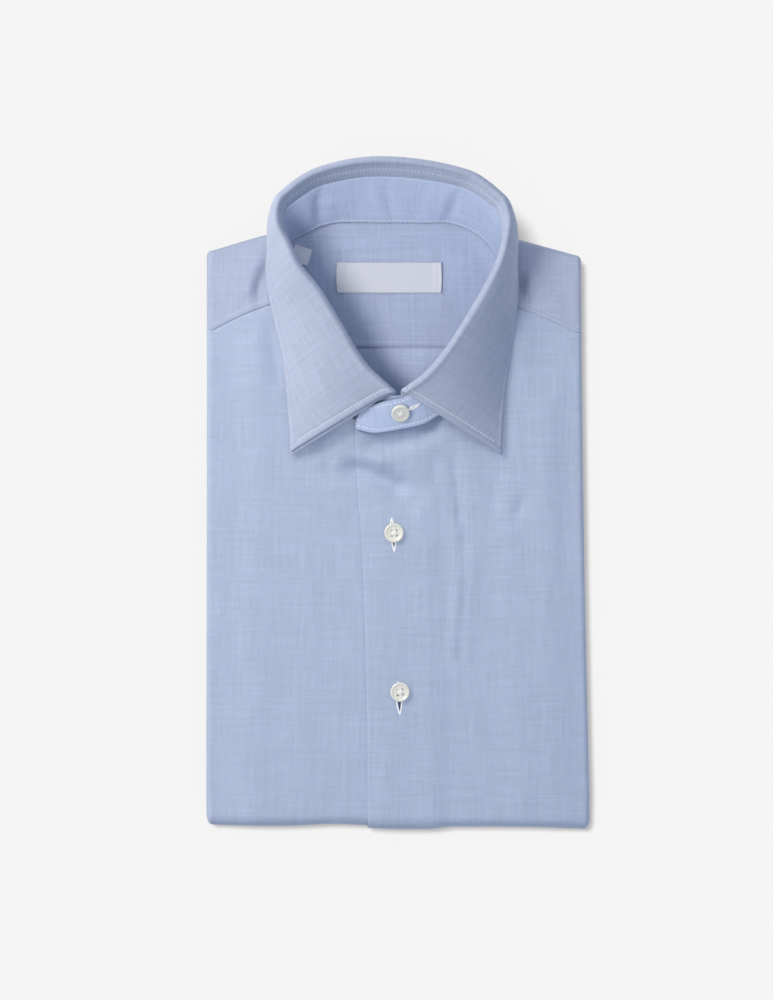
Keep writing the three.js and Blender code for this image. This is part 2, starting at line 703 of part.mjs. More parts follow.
addPiece("main_label", makeLabel({ x: -4.1, y: 126, width: 61, length: 19, turned: 0 }), "satin");
addPiece("size_label", makeLabel({ x: -55.6, y: 139.2, width: 10.4, length: 9.8, turned: -18 }), "satin");

export default shirt;
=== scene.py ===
import math

import bmesh
import bpy
import numpy as np
from mathutils import Matrix, Vector


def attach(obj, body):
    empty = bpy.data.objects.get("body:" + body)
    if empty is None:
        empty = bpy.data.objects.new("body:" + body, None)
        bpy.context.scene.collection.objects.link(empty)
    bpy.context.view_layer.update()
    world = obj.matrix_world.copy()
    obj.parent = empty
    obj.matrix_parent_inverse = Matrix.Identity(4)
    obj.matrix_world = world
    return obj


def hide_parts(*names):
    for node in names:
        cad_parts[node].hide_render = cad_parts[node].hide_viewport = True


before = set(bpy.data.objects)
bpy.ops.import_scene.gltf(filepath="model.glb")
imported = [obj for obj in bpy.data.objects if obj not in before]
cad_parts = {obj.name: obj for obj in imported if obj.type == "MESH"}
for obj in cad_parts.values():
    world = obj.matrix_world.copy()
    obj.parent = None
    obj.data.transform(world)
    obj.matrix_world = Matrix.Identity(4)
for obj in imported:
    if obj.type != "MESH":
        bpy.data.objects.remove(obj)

mm = 0.001
random = np.random.default_rng(7)
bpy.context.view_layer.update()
sceneNow = bpy.context.scene
sceneNow.view_settings.view_transform = "Standard"

# Camera, straight above the shirt

cameraSettings = {"x": -5.6, "y": -4.4, "height": 1650, "lens": 100.4}

cameraData = bpy.data.cameras.new("aboveCamera")
cameraData.lens = cameraSettings["lens"]
cameraData.sensor_width = 36
camera = bpy.data.objects.new("aboveCamera", cameraData)
sceneNow.collection.objects.link(camera)
camera.location = [cameraSettings[k] * mm for k in ("x", "y", "height")]
sceneNow.camera = camera
print("camera placed")

# Lines of the packet, the same as those of the solids

packet = {
    "bodyTop": 17, "sideTop": 14.9, "upperFloor": 7.3,
    "sideRoll": 3.6, "bottomRoll": 6.5, "lip": 3, "cornerTurn": 14, "lowerSetback": 21,
    "slopeWidth": 26, "slopeAtTop": 1.2,
    "bottom": [(-111, -195.5), (-68, -196.1), (-41, -195), (-27, -195.5), (-9, -196.3), (14, -196.5),
               (32, -196.5), (73, -196.7), (114, -198.3)],
    "top": [(-112, 141), (-74, 151.9), (-45, 157.6), (-20, 160.7), (5, 161.5), (30, 160), (50, 155.6),
            (70, 149.6), (109, 138.8)],
    "left": [(-198, -111.6), (0, -111.2), (141, -111.2)],
    "right": [(-198, 114.2), (-120, 112.3), (-30, 110.5), (60, 109.3), (140, 108.7)],
}
placket = {
    "rise": 1.5, "fall": 6,
    "edge": [(-200, -16.7), (-140, -17), (-80, -18.5), (-32, -20.2), (0, -22.4), (25, -23.8), (60, -24.4)],
    "fold": [(-200, 23.2), (-118, 22.5), (-48, 21), (-24, 18.8), (7, 15.6), (31, 14.2), (60, 13.8)],
}
yoke = {
    "seam": [(-140, 78), (-111, 93.4), (-92, 103), (-74, 110), (-55, 115), (0, 119), (54, 114.4),
             (70, 109), (90, 101.5), (109, 92.7), (140, 78)],
    "inside": 13.2, "backInside": 12.6, "backSeam": 85.6, "backReach": 42,
}
neck = {
    "x": -2, "y": 100, "inset": 1.5, "mound": 16,
    # turn, radius, height
    "seam": [(-100, 63.6, 20.8), (-88, 62.6, 20.8), (-73, 62.2, 20.7), (-64, 61, 20.4),
             (-37, 62.4, 19.2), (-9, 62.8, 18.2), (12, 65.8, 17.2), (31, 72.1, 16), (42, 72.3, 15),
             (50, 70.6, 14.1), (58, 68, 13.5), (75, 60.4, 13.3), (94, 58.6, 13.3), (110, 62.4, 13.3),
             (121, 68, 13.5), (131, 71.6, 14.2), (142, 75.5, 15.2), (154, 71, 16.6), (167, 67.7, 17.3),
             (189, 64, 18.2), (219, 61, 19.4), (246, 62.5, 20.6), (260, 63.6, 20.8)],
}
collar = {
    "wall": 1.7, "gap": 0.3, "standShare": 0.8, "foldRadius": 2, "bow": 1.6,
    "rightPoint": -88, "leftPoint": 268, "overEnd": -109, "underEnd": 283,
    "lapFrom": 236, "lapTo": 250, "lapInside": 3.2, "overTurns": 22, "underTurns": 12,
    # turn, fold x y z, facing, edge x y z
    "line": [
        (-88, 4.9, 57.9, 38, -30, 61.8, 22.8, 20.8), (-56, 19.2, 68.4, 41, -40, 62.8, 44.5, 20.2),
        (-35, 31.7, 83.4, 44, -35, 64.6, 63, 19.8), (-10, 45.8, 105.6, 47.5, -31, 67.9, 86.5, 19.2),
        (5, 53.8, 119.7, 49.5, -28, 70.1, 103, 18.8), (18, 60, 132.5, 50.5, -22, 70.7, 117.5, 18.3),
        (29, 63.4, 144.5, 51, -12, 70.4, 131, 17.8), (37, 64.9, 155, 50, 0, 69.6, 143.5, 17.2),
        (44, 63.7, 162.5, 48.5, 14, 67.5, 153.4, 13.5), (50, 60.3, 169.5, 47.2, 34, 62.5, 161.5, 9.5),
        (64, 40.8, 183.5, 44.4, 66, 41, 171.5, 6.6), (94, -7, 191.3, 43, 90, -6.5, 176.3, 6),
        (119, -45, 184.8, 44.4, 115, -45, 172, 6.7), (132, -65.2, 171, 47.6, 146, -67.2, 161.5, 9.5),
        (138, -68.9, 163, 49.3, 166, -72.4, 153.6, 15.2), (145, -68.3, 153, 50.6, 191, -74.6, 142, 17.4),
        (154, -63.6, 143.5, 51, 203, -75.4, 129.5, 18), (166, -56.9, 129.9, 50, 212, -73.6, 113, 18.4),
        (180, -46.5, 117, 48, 213, -70.4, 98, 18.8), (203, -34.6, 97.9, 45.2, 212, -65.8, 76, 19.4),
        (240, -19.3, 73.2, 41, 218, -62.6, 43.5, 20.2), (268, -2.4, 57.6, 38.4, 190, -61.4, 23.8, 20.8),
    ],
}


def curveThrough(rows, k=1):
    at = np.array([row[0] for row in rows], float)
    value = np.array([row[k] for row in rows], float)
    steps = np.arange(len(at))
    before = np.maximum(steps - 1, 0)
    after = np.minimum(steps + 1, len(at) - 1)
    rate = (value[after] - value[before]) / (at[after] - at[before])

    def curve(x):
        x = np.asarray(x, float)
        i = np.clip(np.searchsorted(at, x, side="right") - 1, 0, len(at) - 2)
        span = at[i + 1] - at[i]
        u = np.clip((x - at[i]) / span, 0, 1)
        start = (u ** 3 - 2 * u ** 2 + u) * span * rate[i]
        end = (u ** 3 - u ** 2) * span * rate[i + 1]
        return value[i] + (value[i + 1] - value[i]) * (3 * u ** 2 - 2 * u ** 3) + start + end

    return curve


def smoothStep(x, low, high):
    t = np.clip((np.asarray(x, float) - low) / (high - low), 0, 1)
    return t * t * (3 - 2 * t)


bottomY, topY, leftX, rightX = [curveThrough(packet[k]) for k in ("bottom", "top", "left", "right")]
edgeX, foldX = curveThrough(placket["edge"]), curveThrough(placket["fold"])
yokeY = curveThrough(yoke["seam"])
neckRadius, neckHeight = curveThrough(neck["seam"], 1), curveThrough(neck["seam"], 2)
foldLine = [curveThrough(collar["line"], k) for k in (1, 2, 3)]
foldFacing = curveThrough(collar["line"], 4)
edgeLine = [curveThrough(collar["line"], k) for k in (5, 6, 7)]

# Creases of the solids: from x y, to x y, rise, width
creases = [(-36, 15, 8, 1, -1.1, 8), (43, -39, 36.5, -103, 0.8, 7), (58, 12, 54, -86, -0.8, 9),
           (-92, 88, -94, -120, -0.6, 8), (70, -110, 76, -176, 0.6, 12)]

# Finer folds: rise, width, and the points of the fold's line
folds = [
    # Across the placket below the collar, and the sag beside the stand's foot
    (-4.4, 6.0, [(-36, 16), (-22, 13.3), (-14, 11.4), (-5.9, 7.3), (2.3, 2.6), (9.4, -2)]),
    (2.4, 5.0, [(-17.6, 22.4), (-9.4, 17.8), (-1.2, 12)]),
    (-5.6, 6.0, [(-24, 31), (-6, 28.6), (13, 33), (30, 44)]),
    (-4.6, 5.0, [(-52, 24), (-38, 31.5), (-26, 38)]),
    (-0.4, 4, [(-24, -4), (-8, -9), (6, -12)]),
    # Right of the placket
    (0.5, 4.0, [(32.5, 2), (34.6, -28), (35.8, -52), (34, -80), (32, -106)]),
    (-0.6, 3.0, [(36.9, 0.3), (39.2, -27.8), (40.4, -51.8), (38.6, -80.4), (36.9, -108)]),
    (-0.5, 8, [(44, -5), (46, -50), (43, -95)]),
    (-0.8, 3, [(33.5, 27), (36, 0), (36.5, -24)]),
    (0.35, 3, [(28, 24), (29, -4)]),
    (-0.35, 3, [(21.7, 23.4), (21.7, 1.5)]),
    (0.5, 6, [(61, 9), (64, -10), (67, -35)]),
    (-0.6, 4, [(56, 12), (60, -15)]),
    (-1.3, 3.5, [(76.6, 2), (68, -20)]),
    (0.4, 7, [(88, 60), (84, -30)]),
    (-0.4, 6, [(97, 60), (99, -60)]),
    (-0.35, 9, [(55, -90), (60, -160)]),
    (0.35, 9, [(88, -70), (92, -165)]),
    (0.6, 4, [(77, 100), (74, 78), (76, 56)]),
    (-0.5, 5, [(86, 96), (88, 50)]),
    # Left of it
    (-1.6, 4, [(-74, 106), (-71, 80), (-67, 58)]),
    (0.6, 5, [(-84, 100), (-82, 78), (-79, 56)]),
    (-0.5, 6, [(-64, -4), (-40, -12), (-17, -24)]),
    (0.35, 5, [(-60, 8), (-36, 2), (-26, -2)]),
    (-0.4, 6, [(-33, -57), (-17, -86)]),
    (0.3, 7, [(-58, -40), (-40, -70)]),
    (-0.4, 6, [(-87, 40), (-89, -44)]),
    (0.35, 7, [(-100, 30), (-102, -90)]),
    (-0.3, 9, [(-62, -80), (-70, -150)]),
    (0.3, 8, [(-40, -110), (-38, -170)]),
    # Left shoulder
    (-4.2, 3.8, [(-73, 141), (-78, 126), (-85, 108)]),
    (-2.2, 2.2, [(-79, 122), (-81, 109)]),
    (-1.6, 2.0, [(-88, 117), (-90.5, 108)]),
    (1.5, 3.2, [(-83, 128), (-86, 112)]),
    (0.5, 7, [(-96, 136), (-101, 112)]),
    # Right shoulder
    (-4.0, 3.4, [(71, 132), (74, 110)]),
    (-1.6, 2.2, [(79, 120), (77, 109)]),
    (1.7, 3.6, [(78, 136), (80, 112)]),
    (-0.6, 4, [(92, 128), (98, 108)]),
    (0.4, 5, [(86, 132), (90, 110)]),
]
foldEnds = {"left": 0.1, "fade": 13}


def creaseSum(rows, x, y):
    total = np.zeros(np.broadcast(x, y).shape)
    for x0, y0, x1, y1, rise, width in rows:
        total = total + rise * np.exp(-(distanceTo([(x0, y0), (x1, y1)], x, y) / width) ** 2)
    return total


# Distance in plan from a line of points
def distanceTo(points, x, y):
    nearest = np.full(np.broadcast(x, y).shape, 1e6)
    for (x0, y0), (x1, y1) in zip(points, points[1:]):
        dx, dy = x1 - x0, y1 - y0
        share = np.clip(((x - x0) * dx + (y - y0) * dy) / (dx * dx + dy * dy), 0, 1)
        nearest = np.minimum(nearest, np.hypot(x - x0 - share * dx, y - y0 - share * dy))
    return nearest


# A fold fades toward both of its ends.
def foldSum(x, y):
    total = np.zeros(np.broadcast(x, y).shape)
    for rise, width, points in folds:
        fromEnd = np.minimum(*[np.hypot(x - endX, y - endY) for endX, endY in (points[0], points[-1])])
        fade = foldEnds["left"] + (1 - foldEnds["left"]) * smoothStep(fromEnd, 0, foldEnds["fade"])
        total = total + rise * fade * np.exp(-(distanceTo(points, x, y) / width) ** 2)
    return total


# Faint waves all over: width, lean, start, rise
ripples = [
    (random.uniform(24, 70), random.uniform(-0.5, 0.5), random.uniform(0, 6.3), random.uniform(0.03, 0.09))
    for _ in range(9)
]


def softRipple(x, y):
    return sum(rise * np.sin(2 * np.pi * (x * np.cos(lean) + 0.35 * y * np.sin(lean)) / width + start)
               for width, lean, start, rise in ripples)


def inRound(turn):
    return neck["seam"][0][0] + np.mod(turn - neck["seam"][0][0], 360)


def neckPlace(x, y):
    dx, dy = x - neck["x"], y - neck["y"]
    turn = inRound(np.degrees(np.arctan2(dy, dx)))
    return turn, np.hypot(dx, dy)


def frontHeight(x, y, fine=True):
    toSide = np.minimum(x - leftX(y), rightX(y) - x)
    inside = np.minimum(toSide, (topY(x) - y) * packet["slopeAtTop"])
    flat = packet["sideTop"] + (packet["bodyTop"] - packet["sideTop"]) * smoothStep(
        inside, packet["sideRoll"], packet["slopeWidth"])
    flat = flat + creaseSum(creases, x, y)
    turn, reach = neckPlace(x, y)
    away = np.maximum(reach - neckRadius(turn), 0) / neck["mound"]
    mound = np.exp(-away ** 2)
    height = flat + (neckHeight(turn) - flat) * mound
    if fine:
        height = height + (foldSum(x, y) + softRipple(x, y)) * (1 - 0.45 * mound ** 2)
    return height


def overlapRise(x, y):
    return placket["rise"] * (1 - smoothStep(x - foldX(y), -5, placket["fall"] + 5))


def noRise(x, y):
    return np.zeros(np.broadcast(x, y).shape)


# Meshes from rows of points

def addPiece(name, points, faces, uv, material):
    mesh = bpy.data.meshes.new(name)
    mesh.from_pydata((np.asarray(points) * mm).tolist(), [], [list(map(int, f)) for f in faces])
    layer = mesh.uv_layers.new(name="cloth")
    corner = np.empty(len(mesh.loops), np.int32)
    mesh.loops.foreach_get("vertex_index", corner)
    layer.data.foreach_set("uv", (np.asarray(uv)[corner] * mm).astype(np.float32).ravel())
    mesh.validate()
    mesh.materials.append(material)
    piece = bpy.data.objects.new(name, mesh)
    sceneNow.collection.objects.link(piece)
    return piece


def choose(piece):
    bpy.ops.object.select_all(action="DESELECT")
    piece.select_set(True)
    bpy.context.view_layer.objects.active = piece


def smoothShade(piece, angle=50):
    choose(piece)
    bpy.ops.object.shade_smooth_by_angle(angle=math.radians(angle))


def smoothAll(piece):
    for polygon in piece.data.polygons:
        polygon.use_smooth = True
    return piece


def dropLoose(piece):
    choose(piece)
    bpy.ops.object.mode_set(mode="EDIT")
    bpy.ops.mesh.select_all(action="SELECT")
    bpy.ops.mesh.delete_loose()
    bpy.ops.object.mode_set(mode="OBJECT")


def softenEdges(piece, width, segments, angle):
    soft = piece.modifiers.new("softEdge", "BEVEL")
    soft.width = width * mm
    soft.segments = segments
    soft.limit_method = "ANGLE"
    soft.angle_limit = math.radians(angle)
    bpy.ops.object.modifier_apply(modifier=soft.name)


def gridQuads(index, dead=None):
    quads = np.stack([index[:-1, :-1], index[1:, :-1], index[1:, 1:], index[:-1, 1:]], axis=2)
    if dead is None:
        return quads.reshape(-1, 4)
    return quads[~(dead[:-1, :-1] | dead[1:, :-1] | dead[1:, 1:] | dead[:-1, 1:])]


def giveThickness(piece, thickness, rounding=0.22):
    choose(piece)
    wall = piece.modifiers.new("thickness", "SOLIDIFY")
    wall.thickness = thickness * mm
    wall.offset = -1
    wall.use_rim = True
    bpy.ops.object.modifier_apply(modifier=wall.name)
    if rounding:
        softenEdges(piece, rounding, 2, 65)
    smoothShade(piece)


def alongGrid(points, axis):
    step = np.linalg.norm(np.diff(points, axis=axis), axis=2)
    zero = np.zeros_like(np.take(step, [0], axis=axis))
    return np.cumsum(np.concatenate([zero, step], axis=axis), axis=axis)


def gridNormals(points):
    across = np.gradient(points, axis=0)
    up = np.gradient(points, axis=1)
    normal = np.cross(across, up)
    return normal / np.maximum(np.linalg.norm(normal, axis=2, keepdims=True), 1e-9)


# A closed cloth wall between two grids. Its rim bulges a little, so that the edge is round.
def wallPiece(name, front, back, uv, material, bulge=0.35):
    n, m = front.shape[:2]
    points = [front.reshape(-1, 3), back.reshape(-1, 3)]
    uvs = [uv.reshape(-1, 2), uv.reshape(-1, 2)]
    index = np.arange(n * m).reshape(n, m)
    quads = gridQuads(index)
    faces = [quads, quads[:, ::-1] + n * m]
    rim = ([(i, 0) for i in range(n)] + [(n - 1, j) for j in range(1, m)]
           + [(i, m - 1) for i in range(n - 2, -1, -1)] + [(0, j) for j in range(m - 2, 0, -1)])
    inner = [(min(max(i, 1), n - 2), min(max(j, 1), m - 2)) for i, j in rim]
    rimIndex = np.array([index[c] for c in rim])
    innerIndex = np.array([index[c] for c in inner])
    f, b = points[0][rimIndex], points[1][rimIndex]
    middle = (f + b) / 2
    out = middle - (points[0][innerIndex] + points[1][innerIndex]) / 2
    out /= np.maximum(np.linalg.norm(out, axis=1, keepdims=True), 1e-9)
    thick = np.linalg.norm(f - b, axis=1, keepdims=True)
    points.append(middle + out * thick * bulge)
    uvs.append(uvs[0][rimIndex])
    count = len(rim)
    k = np.arange(count)
    after = (k + 1) % count
    mid = 2 * n * m + k
    midAfter = 2 * n * m + after
    faces.append(np.stack([rimIndex[after], rimIndex, mid, midAfter], axis=1))
    faces.append(np.stack([midAfter, mid, rimIndex + n * m, rimIndex[after] + n * m], axis=1))
    points, faces, uvs = np.concatenate(points), np.concatenate(faces), np.concatenate(uvs)
    return smoothAll(addPiece(name, points, faces, uvs, material))


# Materials

# A shader socket that can be used in sums. Inputs named i0, i1 and so on are picked by their number.
class Maths:
    def __init__(self, tree, socket):
        self.tree = tree
        self.socket = socket

    def node(self, kind, settings=None, **sockets):
        made = self.tree.nodes.new(kind)
        for key, value in (settings or {}).items():
            setattr(made, key, value)
        for key, value in sockets.items():
            target = made.inputs[int(key[1:])] if key[0] == "i" and key[1:].isdigit() else made.inputs[key]
            if isinstance(value, Maths):
                self.tree.links.new(value.socket, target)
            else:
                target.default_value = value
        return made

    def math(self, operation, *values):
        sockets = {f"i{k}": value for k, value in enumerate(values)}
        made = self.node("ShaderNodeMath", {"operation": operation}, **sockets)
        return Maths(self.tree, made.outputs[0])

    def __add__(self, other): return self.math("ADD", self, other)
    def __radd__(self, other): return self.math("ADD", other, self)
    def __sub__(self, other): return self.math("SUBTRACT", self, other)
    def __rsub__(self, other): return self.math("SUBTRACT", other, self)
    def __mul__(self, other): return self.math("MULTIPLY", self, other)
    def __rmul__(self, other): return self.math("MULTIPLY", other, self)
    def __abs__(self): return self.math("ABSOLUTE", self)

    def sine(self): return self.math("SINE", self)

    def clamped(self, low=0.0, high=1.0): return self.math("MINIMUM", self.math("MAXIMUM", self, low), high)


def startMaterial(name, roughness, **constants):
    material = bpy.data.materials.new(name)
    material.use_nodes = True
    tree = material.node_tree
    shader = tree.nodes["Principled BSDF"]
    shader.inputs["Roughness"].default_value = roughness
    for key, value in constants.items():
        shader.inputs[key.replace("_", " ")].default_value = value
    return material, Maths(tree, None), shader


def mixColour(base, factor, a, b, blend="MIX"):
    made = base.node("ShaderNodeMix", {"data_type": "RGBA", "blend_type": blend}, i0=factor, i6=a, i7=b)
    return Maths(base.tree, made.outputs[2])


def rgba(colour):
    return (*colour, 1.0)


def noise(base, vector, scale, detail=2.0):
    made = base.node("ShaderNodeTexNoise", Vector=vector, Scale=scale, Detail=detail)
    return Maths(base.tree, made.outputs["Fac"])


# Place on the piece's own map, in millimetres
def clothPlace(base):
    mapNode = base.node("ShaderNodeUVMap", {"uv_map": "cloth"})
    parts = base.node("ShaderNodeSeparateXYZ", Vector=Maths(base.tree, mapNode.outputs[0]))
    return [Maths(base.tree, parts.outputs[k]) * 1000.0 for k in (0, 1)]


# Two-tone plain weave on the piece's own map: blue warp along the length, white weft across it
clothFinish = {
    "warp": (0.215, 0.315, 0.545), "weft": (0.55, 0.60, 0.70), "pitch": 0.36, "roughness": 0.88,
    "cloudiness": 0.035, "grain": 0.08, "threadBump": 0.05, "crinkleBump": 0.24,
}


# A copy of the cloth for one piece: its shade factor darkens the threads as painted shade, and tint shifts
# their colour.
def clothMaterial(name, paintedShade=1.0, tint=(1, 1, 1), crinkle=1.0, slub=0.18):
    look = clothFinish
    material, base, shader = startMaterial(name, look["roughness"], Sheen_Weight=0.12, Sheen_Roughness=0.5)
    shader.inputs["Specular IOR Level"].default_value = 0.25
    tree = base.tree
    u, v = clothPlace(base)
    warpWave = (u * (2 * math.pi / look["pitch"])).sine()
    weftWave = (v * (2 * math.pi / look["pitch"])).sine()
    weftOver = (warpWave * weftWave * 1.4 + 0.5).clamped()

    def streak(alongU, alongV, offset):
        vector = base.node("ShaderNodeCombineXYZ", X=u * alongU, Y=v * alongV, Z=offset)
        return noise(base, Maths(tree, vector.outputs[0]), 1.0, 1.0) - 0.5

    warpSlub = streak(1.0, 0.04, 3.0) + streak(0.45, 0.02, 9.0) * 0.6
    weftSlub = streak(0.04, 1.0, 5.0) + streak(0.02, 0.45, 12.0) * 0.6
    cloud = streak(0.05, 0.04, 20.0)
    grain = streak(2.6, 2.6, 31.0)
    light = 1.0 + (warpSlub + weftSlub) * slub + cloud * look["cloudiness"] + grain * look["grain"]
    # Painted shade: the thread colours darkened by the piece's shade factor, and shifted by its tint.
    warp = rgba([c * paintedShade * t for c, t in zip(look["warp"], tint)])
    weft = rgba([c * paintedShade * t for c, t in zip(look["weft"], tint)])
    thread = mixColour(base, weftOver, warp, weft)
    lit = base.node("ShaderNodeVectorMath", {"operation": "SCALE"}, i0=thread, Scale=light)
    tree.links.new(lit.outputs[0], shader.inputs["Base Color"])
    yarn = abs(warpWave) * (1.0 - weftOver) + abs(weftWave) * weftOver  # round threads
    yarnBump = base.node("ShaderNodeBump", Strength=0.35, Distance=look["threadBump"] * mm, Height=yarn)
    soft = streak(0.25, 0.2, 44.0) + streak(0.09, 0.08, 51.0) * 2.0 + (warpSlub + weftSlub) * 0.3
    crinkleBump = base.node("ShaderNodeBump", Strength=0.5 * crinkle, Distance=look["crinkleBump"] * mm,
                            Height=soft, Normal=Maths(tree, yarnBump.outputs[0]))
    tree.links.new(crinkleBump.outputs[0], shader.inputs["Normal"])
    return material


def threadMaterial(name, colour):
    material, base, shader = startMaterial(name, 0.6, Sheen_Weight=0.2)
    where = Maths(base.tree, base.node("ShaderNodeTexCoord").outputs["Object"])
    twist = noise(base, where, 2600.0, 1.0)
    colourMix = mixColour(base, twist, rgba([c * 0.86 for c in colour]), rgba(colour))
    base.tree.links.new(colourMix.socket, shader.inputs["Base Color"])
    bump = base.node("ShaderNodeBump", Strength=0.4, Distance=0.1 * mm, Height=twist)
    base.tree.links.new(bump.outputs[0], shader.inputs["Normal"])
    return material


shellFinish = {
    "dull": (0.60, 0.61, 0.54), "pale": (0.76, 0.76, 0.72), "vein": (0.80, 0.80, 0.80),
    "roughness": 0.2, "coat": 0.35,
}


def shellMaterial():
    look = shellFinish
    material, base, shader = startMaterial("pearlShell", look["roughness"], Coat_Roughness=0.12)
    where = Maths(base.tree, base.node("ShaderNodeTexCoord").outputs["Object"])
    cloud = noise(base, where, 240.0, 3.0)
    vein = noise(base, where, 900.0, 2.0)
    ivory = mixColour(base, cloud, rgba(look["dull"]), rgba(look["pale"]))
    pearl = mixColour(base, (vein - 0.35).clamped(0.0, 0.5), ivory, rgba(look["vein"]))
    base.tree.links.new(pearl.socket, shader.inputs["Base Color"])
    shader.inputs["Coat Weight"].default_value = look["coat"]
    base.tree.links.new((look["roughness"] + cloud * 0.16).socket, shader.inputs["Roughness"])
    return material


def labelMaterial(name, colour):
    material, base, shader = startMaterial(name, 0.55, Sheen_Weight=0.1)
    u, v = clothPlace(base)
    ribs = (v * (2 * math.pi / 0.3)).sine() * 0.5 + 0.5
    cross = (u * (2 * math.pi / 0.55) + v * 6.0).sine() * 0.5 + 0.5
    vector = base.node("ShaderNodeCombineXYZ", X=u * 0.15, Y=v * 1.6, Z=2.0)
    streaks = noise(base, Maths(base.tree, vector.outputs[0]), 1.0, 2.0)
    tone = (ribs * 0.5 + cross * 0.2 + streaks * 0.5).clamped()
    weave = mixColour(base, tone, rgba([c * 0.93 for c in colour]), rgba(colour))
    base.tree.links.new(weave.socket, shader.inputs["Base Color"])
    bump = base.node("ShaderNodeBump", Strength=0.3, Distance=0.06 * mm, Height=tone)
    base.tree.links.new(bump.outputs[0], shader.inputs["Normal"])
    return material


# Copies of one cloth. The leaf, stand, inside and hidden copies are darkened as painted shade, and the
# stand's is also a little bluer as painted shade. The yoke and inside copies are a little warmer. Crinkle and
# slub differ as the cloth's own texture.
shirtCloth = clothMaterial("shirtCloth")
yokeWeave = clothMaterial("yokeWeave", tint=(1.06, 1.0, 0.965))
leafWeaveAndPaintedShade = clothMaterial("leafWeaveAndPaintedShade", paintedShade=0.92, tint=(1.03, 1.0, 0.985), crinkle=0.4, slub=0.2)
standWeaveAndPaintedShade = clothMaterial("standWeaveAndPaintedShade", paintedShade=0.96, tint=(1.0, 1.0, 1.015), crinkle=0.5, slub=0.22)
innerCloth = clothMaterial("innerCloth", paintedShade=0.99, tint=(1.02, 1.0, 1.0), crinkle=0.8, slub=0.22)
hiddenCloth = clothMaterial("hiddenCloth", paintedShade=0.95)
whiteThread = threadMaterial("whiteThread", (0.93, 0.94, 0.97))
blueThread = threadMaterial("blueThread", (0.66, 0.71, 0.84))
# The buttonhole slits get a near-black blue sheet: painted shade where the slit opens onto the cloth beneath.
slitShade, _, slitShader = startMaterial("slitShade", 0.9)
slitShader.inputs["Base Color"].default_value = rgba((0.05, 0.08, 0.17))
pearlShell = shellMaterial()
mainSatin = labelMaterial("mainSatin", (0.62, 0.64, 0.70))
sizeSatin = labelMaterial("sizeSatin", (0.74, 0.76, 0.82))
print("materials made")

# Flat panels with rolled edges

panelSettings = {
    "cell": 1.3, "rollSteps": 14, "thickness": 0.8,
    "rightColumns": 104, "leftColumns": 106, "yokeColumns": 168,
}


def foldShare(x, y):
    return 1 - smoothStep(y - bottomY(x) - packet["bottomRoll"], 0, packet["cornerTurn"])


# A panel over a plan grid, with the neck opening cut out of it and a roll along part of its rim.
# Rim entries are (column, row, facing in degrees).
def panel(name, gridX, gridY, heightAt, riseAt, rim, material):
    n, m = gridX.shape
    x, y = gridX.copy(), gridY.copy()
    turn, reach = neckPlace(x, y)
    line = neckRadius(turn) - neck["inset"]
    short = line - reach
    near = (short > 0) & (short < 0.62 * panelSettings["cell"])
    scale = np.where(near, line / np.maximum(reach, 1e-6), 1)
    x = neck["x"] + (x - neck["x"]) * scale
    y = neck["y"] + (y - neck["y"]) * scale
    dead = (short > 0) & ~near
    z = heightAt(x, y)
    points = [np.stack([x, y, z], axis=2).reshape(-1, 3)]
    uv = [np.stack([gridX, gridY], axis=2).reshape(-1, 2)]
    index = np.arange(n * m).reshape(n, m)
    faces = gridQuads(index, dead).tolist()
    steps = panelSettings["rollSteps"]
    i, j = np.array([r[:2] for r in rim]).T
    facing = np.radians([r[2] for r in rim])
    px, py, top = x[i, j], y[i, j], z[i, j]
    below = packet["upperFloor"] * (1 - foldShare(px, py))
    outY = np.where(np.sin(facing) < -1e-6, packet["bottomRoll"] + riseAt(px, py), packet["sideRoll"])
    rows = []
    for angle in np.linspace(0, math.pi, steps + 1)[1:]:
        rows.append(np.stack([
            px + np.cos(facing) * packet["sideRoll"] * math.sin(angle),
            py + np.sin(facing) * outY * math.sin(angle),
            below + (top - below) * (1 + math.cos(angle)) / 2,
        ], axis=1))
    for under in (packet["lip"] / 2, packet["lip"]):
        rows.append(np.stack([px - np.cos(facing) * under, py - np.sin(facing) * under, below], axis=1))
    band = np.stack(rows, axis=1)
    first = np.stack([px, py, top], axis=1)[:, None]
    run = alongGrid(np.concatenate([first, band], axis=1), 1)[:, 1:]
    points.append(band.reshape(-1, 3))
    uv.append(np.stack([
        gridX[i, j][:, None] + np.cos(facing)[:, None] * run,
        gridY[i, j][:, None] + np.sin(facing)[:, None] * run,
    ], axis=2).reshape(-1, 2))
    depth = band.shape[1]
    bandIndex = n * m + np.arange(len(rim) * depth).reshape(len(rim), depth)
    ring = np.concatenate([index[i, j][:, None], bandIndex], axis=1)
    for a in range(len(rim) - 1):
        if dead[i[a], j[a]] or dead[i[a + 1], j[a + 1]]:
            continue
        for k in range(depth):
            corners = [ring[a, k], ring[a, k + 1], ring[a + 1, k + 1], ring[a + 1, k]]
            faces.append(list(dict.fromkeys(corners)))
    piece = addPiece(name, np.concatenate(points), faces, np.concatenate(uv), material)
    dropLoose(piece)
    giveThickness(piece, panelSettings["thickness"])
    for vertex in piece.data.vertices:
        vertex.co.z = max(vertex.co.z, 0)
    return piece


# The rim of a grid, side by side, with a fan at each corner
def sideRim(n, m, sides):
    straight = {
        "bottom": [(i, 0, -90) for i in range(n)],
        "right": [(n - 1, j, 0) for j in range(m)],
        "top": [(i, m - 1, 90) for i in range(n - 1, -1, -1)],
        "left": [(0, j, 180) for j in range(m - 1, -1, -1)],
    }
    entries = []
    for side in sides:
        if side == "corner":
            i, j, facing = entries[-1]
            entries += [(i, j, facing + turn) for turn in range(10, 90, 10)]
        else:
            entries += straight[side]
    return entries


